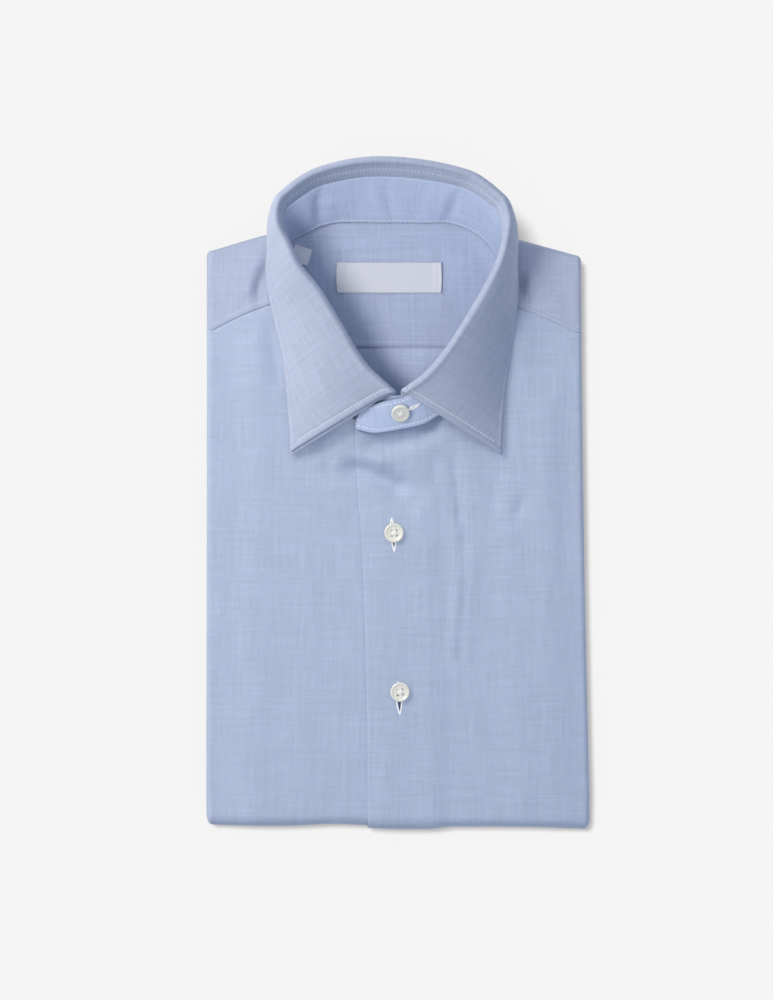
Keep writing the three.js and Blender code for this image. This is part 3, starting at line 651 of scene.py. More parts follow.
# Columns between two lines that follow the rows, and rows between two lines that follow the columns
def planGrid(columns, fromX, toX, fromY, toY, cell):
    middle = np.linspace(0, 1, columns)
    rough = fromX(0.0) + (toX(0.0) - fromX(0.0)) * middle
    rows = int(np.max(toY(rough) - fromY(rough)) / cell)
    share = np.linspace(0, 1, rows)
    y = fromY(rough)[:, None] + (toY(rough) - fromY(rough))[:, None] * share[None, :]
    left, right = fromX(y), toX(y)
    x = left + (right - left) * middle[:, None]
    return x, y


# The yoke's seam: the front runs on under it, and its own edge stands up a little
seamLap = {"under": 4, "sink": 1.15, "ridge": 0.75, "ridgeWidth": 2.0, "row": 3.4}


# Stitches pull the cloth in along their row.
def stitchDent(distance, row, depth=0.26, width=0.65):
    return depth * np.exp(-((distance - row) / width) ** 2)


def frontSurface(x, y):
    above = y - yokeY(x)
    return frontHeight(x, y) - seamLap["sink"] * smoothStep(above, -0.8, 1.2)


def yokeSurface(x, y):
    above = y - yokeY(x)
    ridge = seamLap["ridge"] * np.exp(-((above - 1.4) / seamLap["ridgeWidth"]) ** 2)
    rounding = 0.5 * np.exp(-(above / 0.5) ** 2)
    return frontHeight(x, y) + ridge - rounding - stitchDent(above, seamLap["row"], 0.28, 0.7)


panelCell = panelSettings["cell"]
sideIn = packet["sideRoll"]
rightGrid = planGrid(
    panelSettings["rightColumns"], lambda y: leftX(y) + sideIn, lambda y: foldX(y) - 2,
    lambda x: bottomY(x) + packet["bottomRoll"], lambda x: yokeY(x) + seamLap["under"], panelCell)
# The part that lies under the placket stops above the bottom fold
rimRight = sideRim(*rightGrid[0].shape, ["left", "corner", "bottom"])
underPlacket = rightGrid[0] > edgeX(rightGrid[1]) + 1.0


def rightSurface(x, y):
    hidden = smoothStep(x - edgeX(y), -0.5, 2.5)
    return frontSurface(x, y) - 0.5 * hidden


frontRight = panel("frontRightCloth", *rightGrid, rightSurface, noRise,
                   [(i, j, facing) for i, j, facing in rimRight
                    if facing not in (270, -90) or not underPlacket[i, j]], shirtCloth)


def leftSurface(x, y):
    inside = x - edgeX(y)
    rounding = 0.3 * np.exp(-(inside / 0.5) ** 2)
    low = 0.5 * np.exp(-(inside / 7) ** 2)
    crease = 0.12 * np.exp(-((x - foldX(y) - 0.5) / 0.8) ** 2)
    return frontSurface(x, y) + overlapRise(x, y) - rounding - low - crease


leftGrid = planGrid(
    panelSettings["leftColumns"], lambda y: edgeX(y), lambda y: rightX(y) - sideIn,
    lambda x: bottomY(x) + packet["bottomRoll"], lambda x: yokeY(x) + seamLap["under"], panelCell)
frontLeft = panel("frontLeftCloth", *leftGrid, leftSurface, overlapRise,
                  sideRim(*leftGrid[0].shape, ["bottom", "corner", "right"]), shirtCloth)

yokeGrid = planGrid(
    panelSettings["yokeColumns"], lambda y: leftX(y) + sideIn, lambda y: rightX(y) - sideIn,
    yokeY, lambda x: topY(x) - sideIn, panelCell)
yokeCloth = panel("yokeCloth", *yokeGrid, yokeSurface, noRise,
                  sideRim(*yokeGrid[0].shape, ["right", "corner", "top", "corner", "left"]), yokeWeave)
print("fronts and yoke made")

# Insides seen in the neck opening

insideSettings = {
    "riseWidth": 5.5, "cell": 1.25, "row": 2.6,
    # Soft creases: from x y, to x y, rise, width
    "soft": [(-46, 128, -20, 112, 0.5, 9), (44, 132, 18, 110, 0.4, 9), (-10, 100, 20, 96, -0.3, 10),
             (-56, 140, -40, 150, -0.9, 6), (50, 140, 40, 150, -0.6, 6), (-30, 146, 30, 146, 0.25, 6),
             (-20, 70, 10, 78, 0.3, 8), (0, 60, 14, 76, -0.25, 7)],
}


def insideHeight(x, y, base):
    turn, reach = neckPlace(x, y)
    away = np.maximum(neckRadius(turn) - reach, 0) / insideSettings["riseWidth"]
    lift = np.exp(-away ** 2)
    seam = neckHeight(turn) - 0.6
    level = base + creaseSum(insideSettings["soft"], x, y) * 0.8 + 0.5 * softRipple(y, x)
    return level + (np.maximum(seam, level) - level) * lift


def insidePiece(name, lowY, highY, base, material, edgeLift=0.0):
    cell = insideSettings["cell"]
    x, y = np.meshgrid(np.arange(-80, 76, cell), np.arange(lowY, highY, cell), indexing="ij")
    y[:, 0] = lowY
    turn, reach = neckPlace(x, y)
    line = neckRadius(turn) - 0.4
    over = reach - line
    near = (over > 0) & (over < 0.85)
    scale = np.where(near, line / np.maximum(reach, 1e-6), 1)
    px = neck["x"] + (x - neck["x"]) * scale
    py = np.where(y == lowY, lowY, neck["y"] + (y - neck["y"]) * scale)
    dead = (over > 0) & ~near
    z = insideHeight(px, py, base)
    above = py - yoke["backSeam"]
    if edgeLift:
        z = z + edgeLift * np.exp(-((above - 1.2) / 2.2) ** 2) - 0.4 * np.exp(-(above / 0.45) ** 2)
    else:
        z = z - 0.9 * smoothStep(above, -2.4, 0)
    index = np.arange(x.size).reshape(x.shape)
    piece = addPiece(name, np.stack([px, py, z], axis=2).reshape(-1, 3), gridQuads(index, dead),
                     np.stack([x, y], axis=2).reshape(-1, 2), material)
    dropLoose(piece)
    giveThickness(piece, 0.8, rounding=0)
    return piece


yokeInside = insidePiece("yokeInsideCloth", yoke["backSeam"], 172, yoke["inside"], innerCloth, edgeLift=0.5)
backInside = insidePiece("backCloth", yoke["backReach"], yoke["backSeam"] + 3, yoke["backInside"], innerCloth)
print("insides made")

# Collar

def footAt(turn):
    angle = np.radians(turn)
    straighter = 3 * smoothStep(-turn, 80, -collar["overEnd"])
    inside = collar["lapInside"] * smoothStep(turn, collar["lapFrom"], collar["lapTo"])
    radius = neckRadius(inRound(turn)) + straighter - inside
    onPlacket = placket["rise"] * smoothStep(-turn, 52, 66)
    z = neckHeight(inRound(turn)) + onPlacket + collar["gap"] + collar["wall"] / 2
    return np.stack([neck["x"] + radius * np.cos(angle), neck["y"] + radius * np.sin(angle), z], axis=-1)


def foldAt(turn):
    crest = np.stack([curve(turn) for curve in foldLine], axis=-1)
    crest[..., 2] -= collar["wall"] / 2
    facing = np.radians(foldFacing(turn))
    out = np.stack([np.cos(facing), np.sin(facing), np.zeros_like(facing)], axis=-1)
    drop = np.array([0, 0, -collar["foldRadius"]])
    return crest, out, crest - out * collar["foldRadius"] + drop, crest + out * collar["foldRadius"] + drop


def standTopAt(turn):
    held = np.clip(turn, collar["rightPoint"], collar["leftPoint"])
    foot = footAt(held)
    top = foot + (foldAt(held)[2] - foot) * collar["standShare"]
    past = footAt(turn) - foot
    past[..., 2] -= 3 * smoothStep(-turn, -collar["rightPoint"], -collar["overEnd"])
    return top + past


def unit(vectors):
    return vectors / np.maximum(np.linalg.norm(vectors, axis=-1, keepdims=True), 1e-9)


def standFacing(turn):
    across = footAt(turn + 1) - footAt(turn - 1)
    return unit(np.cross(across, standTopAt(turn) - footAt(turn)))


def standAt(turn, share):
    lap = smoothStep(turn, collar["lapFrom"], collar["lapTo"])
    shift = -(collar["wall"] + 2 * collar["gap"]) * lap
    foot, top = footAt(turn), standTopAt(turn)
    return foot + (top - foot) * np.asarray(share)[..., None] + standFacing(turn) * shift[..., None]


def endShare(turn):
    past = np.maximum(1 - (turn - collar["overEnd"]) / collar["overTurns"],
                      1 - (collar["underEnd"] - turn) / collar["underTurns"])
    return np.maximum(np.cbrt(1 - np.clip(past, 0, 1) ** 3), 0.35)


# The stand, with soft ripples on its inner side at the back: turn, lean of the ripple, depth, width
standSettings = {
    "thickness": 1.5, "sections": 620, "rows": 34, "footRow": 2.2, "topRow": 1.9, "seamRow": 1.5,
    "ripples": [(124, 7, -1.5, 2.6), (128.5, 7, 0.7, 3.0), (119, 4, 0.6, 3.2), (92, -6, -0.9, 3.4),
                (97, -5, 0.45, 3), (63, -3, -1.0, 2.6), (67, -3, 0.5, 3), (108, 3, -0.35, 4),
                (78, 0, -0.4, 4), (140, 6, -0.7, 4), (150, 3, 0.5, 5), (48, -4, -0.5, 4),
                (34, 0, 0.35, 5), (20, 0, -0.3, 6), (172, 0, -0.3, 6)],
}
# Sections stand closer together toward both rounded ends.
closer = np.linspace(0, 1, 40) ** 1.7
plainStart, plainEnd = collar["overEnd"] + 10, collar["underEnd"] - 4
standTurns = np.concatenate([
    collar["overEnd"] + (plainStart - collar["overEnd"]) * closer[:-1],
    np.linspace(plainStart, plainEnd, standSettings["sections"]),
    collar["underEnd"] - (collar["underEnd"] - plainEnd) * closer[::-1][1:],
])
standShares = np.linspace(0, 1, standSettings["rows"])
turnGrid = np.repeat(standTurns[:, None], len(standShares), axis=1)
shareGrid = standShares[None, :] * endShare(standTurns)[:, None]
standMid = standAt(turnGrid, shareGrid)
standOut = unit(np.cross(np.gradient(standMid, axis=0), np.gradient(standMid, axis=1)))
rippleDepth = np.zeros(turnGrid.shape)
for at, lean, depth, width in standSettings["ripples"]:
    centre = at + lean * (0.5 - shareGrid)
    height = np.sin(np.pi * np.clip(shareGrid * 1.02 + 0.02, 0, 1)) ** 0.6
    rippleDepth += depth * height * np.exp(-((turnGrid - centre) / width) ** 2)
standMid = standMid + standOut * rippleDepth[..., None] * -1.0
standUv = np.stack([alongGrid(standMid, 1), alongGrid(standMid, 0)], axis=2)
upStand = alongGrid(standMid, 1)
downStand = upStand[:, -1:] - upStand
footDent = stitchDent(upStand, standSettings["footRow"], 0.22, 0.6)
topDent = stitchDent(downStand, standSettings["topRow"], 0.2, 0.6)
half = standSettings["thickness"] / 2
pillow = 0.22 * (1 - np.exp(-upStand / 1.2)) * (1 - np.exp(-downStand / 1.2))
standFront = standMid + standOut * (half - 0.12 + pillow - footDent - topDent)[..., None]
standBack = standMid - standOut * (half - 0.1 + 0.5 * pillow - footDent * 0.9)[..., None]
stand = wallPiece("standCloth", standFront, standBack, standUv, standWeaveAndPaintedShade)


# The leaf, from its seam on the stand up over the fold and down to its edge
def centripetal(points, samples):
    points = [2 * points[0] - points[1], *points, 2 * points[-1] - points[-2]]
    spans = len(points) - 3
    result = []
    for k in range(samples + 1):
        t = k / samples * spans
        i = min(int(t), spans - 1)
        t -= i
        p0, p1, p2, p3 = points[i:i + 4]
        d0, d1, d2 = [np.maximum(np.linalg.norm(b - a, axis=-1, keepdims=True), 1e-6) ** 0.5
                      for a, b in ((p0, p1), (p1, p2), (p2, p3))]
        t1 = ((p1 - p0) / d0 - (p2 - p0) / (d0 + d1) + (p2 - p1) / d1) * d1
        t2 = ((p2 - p1) / d1 - (p3 - p1) / (d1 + d2) + (p3 - p2) / d2) * d1
        square, cube = -3 * p1 + 3 * p2 - 2 * t1 - t2, 2 * p1 - 2 * p2 + t1 + t2
        result.append(p1 + t1 * t + square * t ** 2 + cube * t ** 3)
    return np.stack(result, axis=1)


leafSettings = {
    "sections": 420, "rows": 66, "layer": 0.62, "split": 0.14, "tuck": 1.6, "backRow": 6.4,
    "frontRow": 3.7, "outerRow": 2.6, "rightReach": 0.5, "leftReach": 1.9,
}


# The leaf's raw edge is tucked into the top of the stand, except at the two ends
def tuckShare(turn):
    return smoothStep(turn, -80, -65) * (1 - smoothStep(turn, 225, 245))


def leafGrid(turn):
    crest, out, inner, outer = foldAt(turn)
    seam = standAt(turn, np.ones_like(turn))
    foot = standAt(turn, np.zeros_like(turn))
    clear = 1.3 * collar["gap"] + 0.9 * smoothStep(turn, 240, 262) - leafSettings["tuck"] * tuckShare(turn)
    start = seam + unit(inner - foot) * clear[:, None]
    edge = np.stack([curve(turn) for curve in edgeLine], axis=-1)

    softer = ((1 - smoothStep(turn, 0, 30)) + smoothStep(turn, 150, 180))[:, None]
    outer = outer + (out * 0.8 + np.array([0, 0, 0.9])) * softer

    def bowed(share, amount):
        lift = out * amount * collar["bow"] + np.array([0, 0, amount * collar["bow"]])
        return outer + (edge - outer) * share + lift * (1 - 0.25 * softer)

    stations = [start, inner, crest, outer, bowed(0.3, 1), bowed(0.65, 0.9), edge]
    return centripetal(stations, leafSettings["rows"])


leafTurns = np.linspace(collar["rightPoint"], collar["leftPoint"], leafSettings["sections"])
leafMid = leafGrid(leafTurns)
leafOut = -gridNormals(leafMid)
fromRight = alongGrid(leafMid, 0)
fromLeft = fromRight[-1:] - fromRight
fromSeam = alongGrid(leafMid, 1)
toEdge = fromSeam[:, -1:] - fromSeam
toFront = np.minimum(fromRight, fromLeft)
outside = smoothStep(fromSeam, 14, 20)


edgeRound = 0.3 * np.exp(-(np.minimum(toEdge, toFront) / 0.5) ** 2)
frontPart = smoothStep(toEdge, leafSettings["outerRow"] - 1, leafSettings["outerRow"])
outerPart = smoothStep(toFront, leafSettings["frontRow"] - 1, leafSettings["frontRow"])
hem = 0.22 * np.maximum(np.exp(-((toEdge - 1.1) / 0.9) ** 2), np.exp(-((toFront - 1.5) / 1.3) ** 2))
backPart = (smoothStep(leafTurns, 10, 30) * (1 - smoothStep(leafTurns, 150, 175)))[:, None]
slim = 1 - 0.5 * (1 - smoothStep(fromSeam, 1.8, 3.6)) * tuckShare(leafTurns)[:, None]
leafTopHeight = (0.5 + 0.5 * slim) * (0.78 + hem * outside - edgeRound
                        - outside * outerPart * stitchDent(toEdge, leafSettings["outerRow"])
                        - frontPart * stitchDent(toFront, leafSettings["frontRow"])
                        - backPart * stitchDent(fromSeam, leafSettings["backRow"], 0.12, 1.0))
split = leafSettings["split"] / 2
leafUv = np.stack([fromSeam, fromRight[:, 40:41] + np.zeros_like(fromSeam)], axis=2)
leafTop = wallPiece("leafCloth", (leafMid + leafOut * leafTopHeight[..., None])[::-1],
                    (leafMid + leafOut * split)[::-1], leafUv[::-1], leafWeaveAndPaintedShade)

# Under collar: the same sheet beneath, reaching a little past the front and outer edges
ends = [unit(leafMid[0] - leafMid[2]), unit(leafMid[-1] - leafMid[-3])]
share = smoothStep(np.arange(leafMid.shape[1]), 22, 50)[:, None]
underMid = leafMid.copy()
underMid[0] += ends[0] * share * leafSettings["rightReach"]
underMid[-1] += ends[1] * share * leafSettings["leftReach"]
underMid[:, -1] += unit(leafMid[:, -1] - leafMid[:, -3]) * 0.35
underDrop = (split + 0.3 * share.T * np.exp(-(fromLeft / 2.5) ** 2))[..., None]
underWall = (slim * leafSettings["layer"])[..., None]
leafUnder = wallPiece("leafUnderCloth", (underMid - leafOut * underDrop)[::-1],
                      (underMid - leafOut * (underDrop + underWall))[::-1], leafUv[::-1], leafWeaveAndPaintedShade)
print("collar made")

# Stitches: short rounded dashes of thread along a row

stitchSettings = {"length": 1.75, "space": 0.75, "radius": 0.2, "sides": 6}


def resample(path, step):
    lengths = np.concatenate([[0], np.cumsum(np.linalg.norm(np.diff(path[:, :3], axis=0), axis=1))])
    count = max(int(lengths[-1] / step), 1)
    at = (np.arange(count) + 0.5) * lengths[-1] / count
    return np.stack([np.interp(at, lengths, path[:, k]) for k in range(path.shape[1])], axis=1)


def stitchRow(paths, length=None, space=None, radius=None, slant=0.0, flatness=0.75):
    length = length or stitchSettings["length"]
    space = space or stitchSettings["space"]
    radius = radius or stitchSettings["radius"]
    sides = stitchSettings["sides"]
    points, faces = [], []
    profile = [(-0.5, 0.25), (-0.38, 0.85), (0, 1.0), (0.38, 0.85), (0.5, 0.25)]
    for path in paths:
        path = np.asarray(path)
        rows = resample(path, length + space)
        ahead = unit(np.gradient(rows[:, :3], axis=0))
        for row, tangent in zip(rows, ahead):
            normal = row[3:6] / np.linalg.norm(row[3:6])
            side = np.cross(normal, tangent)
            side /= np.linalg.norm(side)
            direction = tangent * math.cos(slant) + side * math.sin(slant)
            across = np.cross(normal, direction)
            size = length * random.uniform(0.93, 1.05)
            start = len(points)
            for along, thick in profile:
                centre = row[:3] + direction * along * size + normal * radius * (0.35 - 1.2 * along * along)
                for k in range(sides):
                    angle = 2 * math.pi * k / sides
                    points.append(centre + across * math.cos(angle) * radius * thick
                                  + normal * math.sin(angle) * radius * thick * flatness)
            for ring in range(len(profile) - 1):
                for k in range(sides):
                    a = start + ring * sides + k
                    b = start + ring * sides + (k + 1) % sides
                    faces.append((a, b, b + sides, a + sides))
            faces.append([start + k for k in reversed(range(sides))])
            faces.append([start + (len(profile) - 1) * sides + k for k in range(sides)])
    return np.array(points), faces


def stitches(name, paths, material, **sizes):
    points, faces = stitchRow(paths, **sizes)
    return smoothAll(addPiece(name, points, faces, points[:, :2], material))


def planPath(x, y, heightAt):
    x, y = np.asarray(x, float), np.asarray(y, float)
    e = 0.5
    z = heightAt(x, y)
    nx = -(heightAt(x + e, y) - heightAt(x - e, y)) / (2 * e)
    ny = -(heightAt(x, y + e) - heightAt(x, y - e)) / (2 * e)
    normal = unit(np.stack([nx, ny, np.ones_like(nx)], axis=1))
    return np.concatenate([np.stack([x, y, z], axis=1), normal], axis=1)


# Points of a grid where a distance reaches a value, found along one axis
def crossing(points, normals, distance, value, lines, alongFirst, low, high):
    found = []
    for line in lines:
        row = distance[:, line] if alongFirst else distance[line]
        p = points[:, line] if alongFirst else points[line]
        q = normals[:, line] if alongFirst else normals[line]
        row, p, q = row[low:high], p[low:high], q[low:high]
        k = np.nonzero((row[:-1] - value) * (row[1:] - value) <= 0)[0]
        if len(k) == 0:
            continue
        k = k[0]
        t = (value - row[k]) / (row[k + 1] - row[k] + 1e-9)
        found.append(np.concatenate([p[k] * (1 - t) + p[k + 1] * t, unit(q[k] * (1 - t) + q[k + 1] * t)]))
    return np.array(found)


leafSkin = leafMid + leafOut * leafTopHeight[..., None]
rowCount = leafMid.shape[1]
foldRow = int(np.argmax(leafMid[200, :, 2]))
frontPaths = []
frontRows = range(foldRow - 3, rowCount - 1)
sections = leafSettings["sections"]
for side, low, high in ((fromRight, 0, 60), (fromLeft, sections - 60, sections)):
    path = crossing(leafSkin, leafOut, side, leafSettings["frontRow"], frontRows, True, low, high)
    length = np.cumsum(np.concatenate([[0], np.linalg.norm(np.diff(path[:, :3], axis=0), axis=1)]))
    frontPaths.append(path[length < length[-1] - leafSettings["outerRow"]])
outerPath = crossing(leafSkin, leafOut, toEdge, leafSettings["outerRow"],
                     range(6, sections - 6), False, foldRow + 4, rowCount)
frontStitches = stitches("leafFrontStitches", frontPaths, whiteThread, radius=0.24, length=1.5, space=0.65)
outerStitches = stitches("leafOuterStitches", [outerPath], blueThread, radius=0.22, length=1.6, space=0.7)
backLines = [k for k in range(sections) if 2 < leafTurns[k] < 178]
innerRow = crossing(leafSkin, leafOut, fromSeam, leafSettings["backRow"], backLines, False, 0, foldRow + 2)
backStitches = stitches("collarBackStitches", [innerRow], blueThread, length=2.6, space=-0.5, radius=0.2,
                        slant=1.0)

footRow = crossing(standBack, -standOut, upStand, standSettings["seamRow"],
                   range(60, len(standTurns) - 60), False, 0, 16)
seamStitches = stitches("neckSeamStitches", [footRow], whiteThread, length=1.3, space=1.1, radius=0.16,
                        slant=0.5)
lapPart = [k for k in range(1, len(standTurns)) if standTurns[k] < -58]
lowRow = crossing(standFront, standOut, upStand, standSettings["footRow"], lapPart[4:], False, 0, 20)
highRow = crossing(standFront, standOut, downStand, standSettings["topRow"], lapPart[3:], False,
                   2, len(standShares))
standStitches = stitches("standStitches", [lowRow, highRow[::-1]], whiteThread, radius=0.18)

yokePaths = []
for low, high in ((-108.5, -66), (67, 107)):
    x = np.linspace(low, high, 60)
    yokePaths.append(planPath(x, yokeY(x) + seamLap["row"], yokeSurface))
yokeStitches = stitches("yokeStitches", yokePaths, blueThread, radius=0.22, length=1.6, space=0.7)
insideX = np.linspace(-44, 42, 80)
insidePath = planPath(insideX, np.full_like(insideX, yoke["backSeam"] + insideSettings["row"]),
                      lambda a, b: insideHeight(a, b, yoke["inside"]) + 0.35)
insideStitches = stitches("yokeInsideStitches", [insidePath], blueThread, radius=0.14)
print("stitches made")

# Labels

labelSettings = {
    "main": {"x": -4.1, "y": 126, "width": 61, "length": 17.6, "turned": 0, "base": 13.75, "thickness": 0.5},
    "size": {
        "x": -55.6, "y": 139.2, "width": 10.4, "length": 9.8, "turned": -18, "base": 13.8, "thickness": 0.45,
    },
}


def makeLabel(name, look, shape, material):
    u, v = np.meshgrid(np.linspace(-0.5, 0.5, 90), np.linspace(-0.5, 0.5, 34), indexing="ij")
    lift, x, y = shape(u, v)
    x, y = x * look["width"], y * look["length"]
    c, s = math.cos(math.radians(look["turned"])), math.sin(math.radians(look["turned"]))
    px, py = look["x"] + x * c - y * s, look["y"] + x * s + y * c
    z = np.maximum(look["base"], insideHeight(px, py, yoke["inside"]) + 0.1) + look["thickness"] + lift
    top = np.stack([px, py, z], axis=2)
    uv = np.stack([x, y], axis=2)
    return wallPiece(name, top, top - np.array([0, 0, look["thickness"]]), uv, material)


def mainShape(u, v):
    ends = 0.35 * np.exp(-((0.5 - np.abs(u)) / 0.02) ** 2) + 0.28 * smoothStep(np.abs(u), 0.42, 0.43)
    lift = ends + 0.12 * np.cos(2 * np.pi * u) * np.cos(np.pi * v) + 0.1 * np.exp(-((v + 0.45) / 0.05) ** 2)
    bowed = 1 + 0.014 * np.cos(np.pi * v)
    return lift, u * bowed, v


def sizeShape(u, v):
    return 0.9 * smoothStep(u - v, 0.1, 1.0) + 0.1 * np.cos(6 * u), u, v


mainLabel = makeLabel("mainLabelCloth", labelSettings["main"], mainShape, mainSatin)
sizeLabel = makeLabel("sizeLabelCloth", labelSettings["size"], sizeShape, sizeSatin)
print("labels made")

# Buttons

buttonSettings = {
    "front": {"diameter": 11.4, "height": 2.6, "dish": 0.16, "hole": 0.12},
    "collar": {"diameter": 10.8, "height": 2.6, "dish": 0.06, "hole": 0.08},
    "places": [(-1.2, -23.7), (2.3, -116.7)],
    "collarTurn": -87, "collarShare": 0.56, "clear": 0.3,
}


def makeButton(name, diameter, height, dish, hole):
    r, h = diameter / 2 * mm, height * mm
    bpy.ops.object.select_all(action="DESELECT")
    bpy.ops.mesh.primitive_cylinder_add(vertices=56, radius=r, depth=h * 0.72, location=(0, 0, h * 0.5))
    button = bpy.context.active_object
    button.name = name
    bpy.ops.object.transform_apply(location=True, rotation=True, scale=True)
    bpy.ops.object.mode_set(mode="EDIT")
    bpy.ops.mesh.select_mode(type="FACE")

    def pickTop():
        bpy.ops.mesh.select_all(action="DESELECT")
        shape = bmesh.from_edit_mesh(button.data)
        flat = [face for face in shape.faces if face.normal.z > 0.99]
        min(flat, key=lambda face: face.calc_center_median().xy.length).select_set(True)
        bmesh.update_edit_mesh(button.data)

    for thickness, depth in ((0.10, 0.12), (0.09, 0.02), (0.11, -dish), (0.16, -0.3 * dish)):
        pickTop()
        bpy.ops.mesh.inset(thickness=thickness * r, depth=depth * h)
    bpy.ops.object.mode_set(mode="OBJECT")
    softenEdges(button, 0.32, 3, 24)
    cutters = []
    for sx, sy in ((1, 1), (1, -1), (-1, -1), (-1, 1)):
        bpy.ops.mesh.primitive_cylinder_add(vertices=20, radius=hole * r, depth=4 * h,
                                            location=(sx * 0.25 * r, sy * 0.25 * r, h * 0.5))
        cutters.append(bpy.context.active_object)
    bpy.ops.object.select_all(action="DESELECT")
    for cutter in cutters:
        cutter.select_set(True)
    bpy.context.view_layer.objects.active = cutters[0]
    bpy.ops.object.join()
    bpy.ops.object.transform_apply(location=True, rotation=True, scale=True)
    holes = cutters[0]
    choose(button)
    cut = button.modifiers.new("holes", "BOOLEAN")
    cut.operation = "DIFFERENCE"
    cut.solver = "EXACT"
    cut.object = holes
    bpy.ops.object.modifier_apply(modifier=cut.name)
    bpy.data.objects.remove(holes)
    button.data.materials.clear()
    button.data.materials.append(pearlShell)
    smoothShade(button, 34)
    return button


def placeButton(button, centre, facing, spin=0.0):
    turn = Vector((0, 0, 1)).rotation_difference(Vector(facing)).to_matrix().to_4x4()
    button.data.transform(Matrix.Translation(Vector(centre) * mm) @ turn @ Matrix.Rotation(spin, 4, "Z"))
    button.data.update()


# The sewing thread through a button's four holes, as two strands that cross
def buttonThread(name, diameter, height, dish, hole):
    r, h = diameter / 2, height
    points, faces = [], []
    sides, steps, thick = 8, 14, 0.3 + hole
    for a, lift in ((math.pi / 4, 0.0), (3 * math.pi / 4, 0.22)):
        direction = np.array([math.cos(a), math.sin(a), 0])
        across = np.array([-direction[1], direction[0], 0])
        start = len(points)
        for k in range(steps + 1):
            t = k / steps * 2 - 1
            centre = direction * t * 0.37 * r
            intoHole = 3 * max(abs(t) - 0.8, 0)
            centre[2] = h * (0.96 - 1.3 * dish + 0.1 * (1 - t ** 4)) + lift * (1 - t * t) - intoHole
            for s in range(sides):
                angle = 2 * math.pi * s / sides
                up = np.array([0, 0, math.sin(angle) * thick * 0.8])
                points.append(centre + across * math.cos(angle) * thick + up)
        for k in range(steps):
            for s in range(sides):
                a0, b0 = start + k * sides + s, start + k * sides + (s + 1) % sides
                faces.append((a0, a0 + sides, b0 + sides, b0))
        faces.append([start + s for s in range(sides)])
        faces.append([start + steps * sides + s for s in reversed(range(sides))])
    points = np.array(points)
    return smoothAll(addPiece(name, points, faces, points[:, :2], whiteThread))


firstButton = makeButton("frontButton1", **buttonSettings["front"])
secondButton = firstButton.copy()
secondButton.data = firstButton.data.copy()
secondButton.name = "frontButton2"
sceneNow.collection.objects.link(secondButton)
buttons, threads = [firstButton, secondButton], []
for k, (button, (x, y)) in enumerate(zip(buttons, buttonSettings["places"])):
    base = [x, y, float(frontHeight(x, y, fine=False) + overlapRise(x, y)) + buttonSettings["clear"]]
    threads.append(buttonThread(f"frontThread{k + 1}", **buttonSettings["front"]))
    for piece in (button, threads[k]):
        placeButton(piece, base, (0, 0, 1), spin=0.05 + 0.1 * k)
turn = np.array([float(buttonSettings["collarTurn"])])
facing = standFacing(turn)[0]
spot = standAt(turn, np.array([buttonSettings["collarShare"]]))[0]
spot = spot + facing * (collar["wall"] / 2 + buttonSettings["clear"])
collarButton = makeButton("collarButton", **buttonSettings["collar"])
placeButton(collarButton, spot, facing, spin=0.5)
collarThread = buttonThread("collarThread", **buttonSettings["collar"])
placeButton(collarThread, spot, facing, spin=0.5)
print("buttons made")

# Buttonholes: a ring of close stitches round a slit, filled by a thin dark sheet of painted shade

holeSettings = {
    # name, start, end, half width
    "front": [("frontHole1", (-2.6, -15.2), (-0.9, -34.4), 1.35),
              ("frontHole2", (1.2, -110.9), (2.3, -129.8), 1.5)],
    "ring": 0.52, "steps": 110,
    # turn and share of the stand's height
    "collar": {"start": (-82.0, 0.55), "end": (-72.0, 0.60), "width": 0.03, "ring": 0.42, "steps": 90},
}


def holeRing(name, path, normals, radius, material):
    n = len(path)
    points, faces = [], []
    sides = 8
    ahead = unit(np.roll(path, -1, axis=0) - np.roll(path, 1, axis=0))
    for k in range(n):
        side = np.cross(normals[k], ahead[k])
        ridge = radius * (1.0 if k % 2 else 0.86)
        for s in range(sides):
            angle = 2 * math.pi * s / sides
            up = normals[k] * math.sin(angle) * 0.75
            points.append(path[k] + (side * math.cos(angle) + up) * ridge)
    for k in range(n):
        for s in range(sides):
            a, b = k * sides + s, k * sides + (s + 1) % sides
            c, d = ((k + 1) % n) * sides + (s + 1) % sides, ((k + 1) % n) * sides + s
            faces.append((a, b, c, d))
    points = np.array(points)
    return addPiece(name, points, faces, points[:, :2], material)


def lens(start, end, width, steps, sharp=0.9):
    start, end = np.asarray(start, float), np.asarray(end, float)
    along = end - start
    across = np.array([-along[1], along[0]]) / np.linalg.norm(along)
    angle = np.linspace(0, 2 * math.pi, steps, endpoint=False)
    share = (1 - np.cos(angle)) / 2
    wide = np.sign(np.sin(angle)) * np.abs(np.sin(angle)) ** (1 + sharp)
    return start + along * share[:, None] + across * (wide * width)[:, None]


holePieces, slitPieces = [], []
steps = holeSettings["steps"]
for name, start, end, width in holeSettings["front"]:
    outline = lens(start, end, width, steps)
    path = planPath(outline[:, 0], outline[:, 1], leftSurface)
    ringPath = path[:, :3] + path[:, 3:] * 0.2
    holePieces.append(holeRing(name, ringPath, path[:, 3:], holeSettings["ring"], whiteThread))
    inner = lens(start, end, width * 0.92, steps)
    slitPath = planPath(inner[:, 0], inner[:, 1], leftSurface)
    slit = slitPath[:, :3] + slitPath[:, 3:] * 0.16
    slitTop = np.stack([slit[:steps // 2], slit[::-1][:steps // 2]], axis=1)
    slitPieces.append(wallPiece(name + "Slit", slitTop, slitTop - [0, 0, 0.12],
                                np.zeros((steps // 2, 2, 2)), slitShade))


# On the stand the buttonhole runs level, and shows to the right of the button.
def onStand(turn, share):
    turn = np.asarray(turn, float)
    return standAt(turn, np.asarray(share, float)) + standFacing(turn) * 0.85


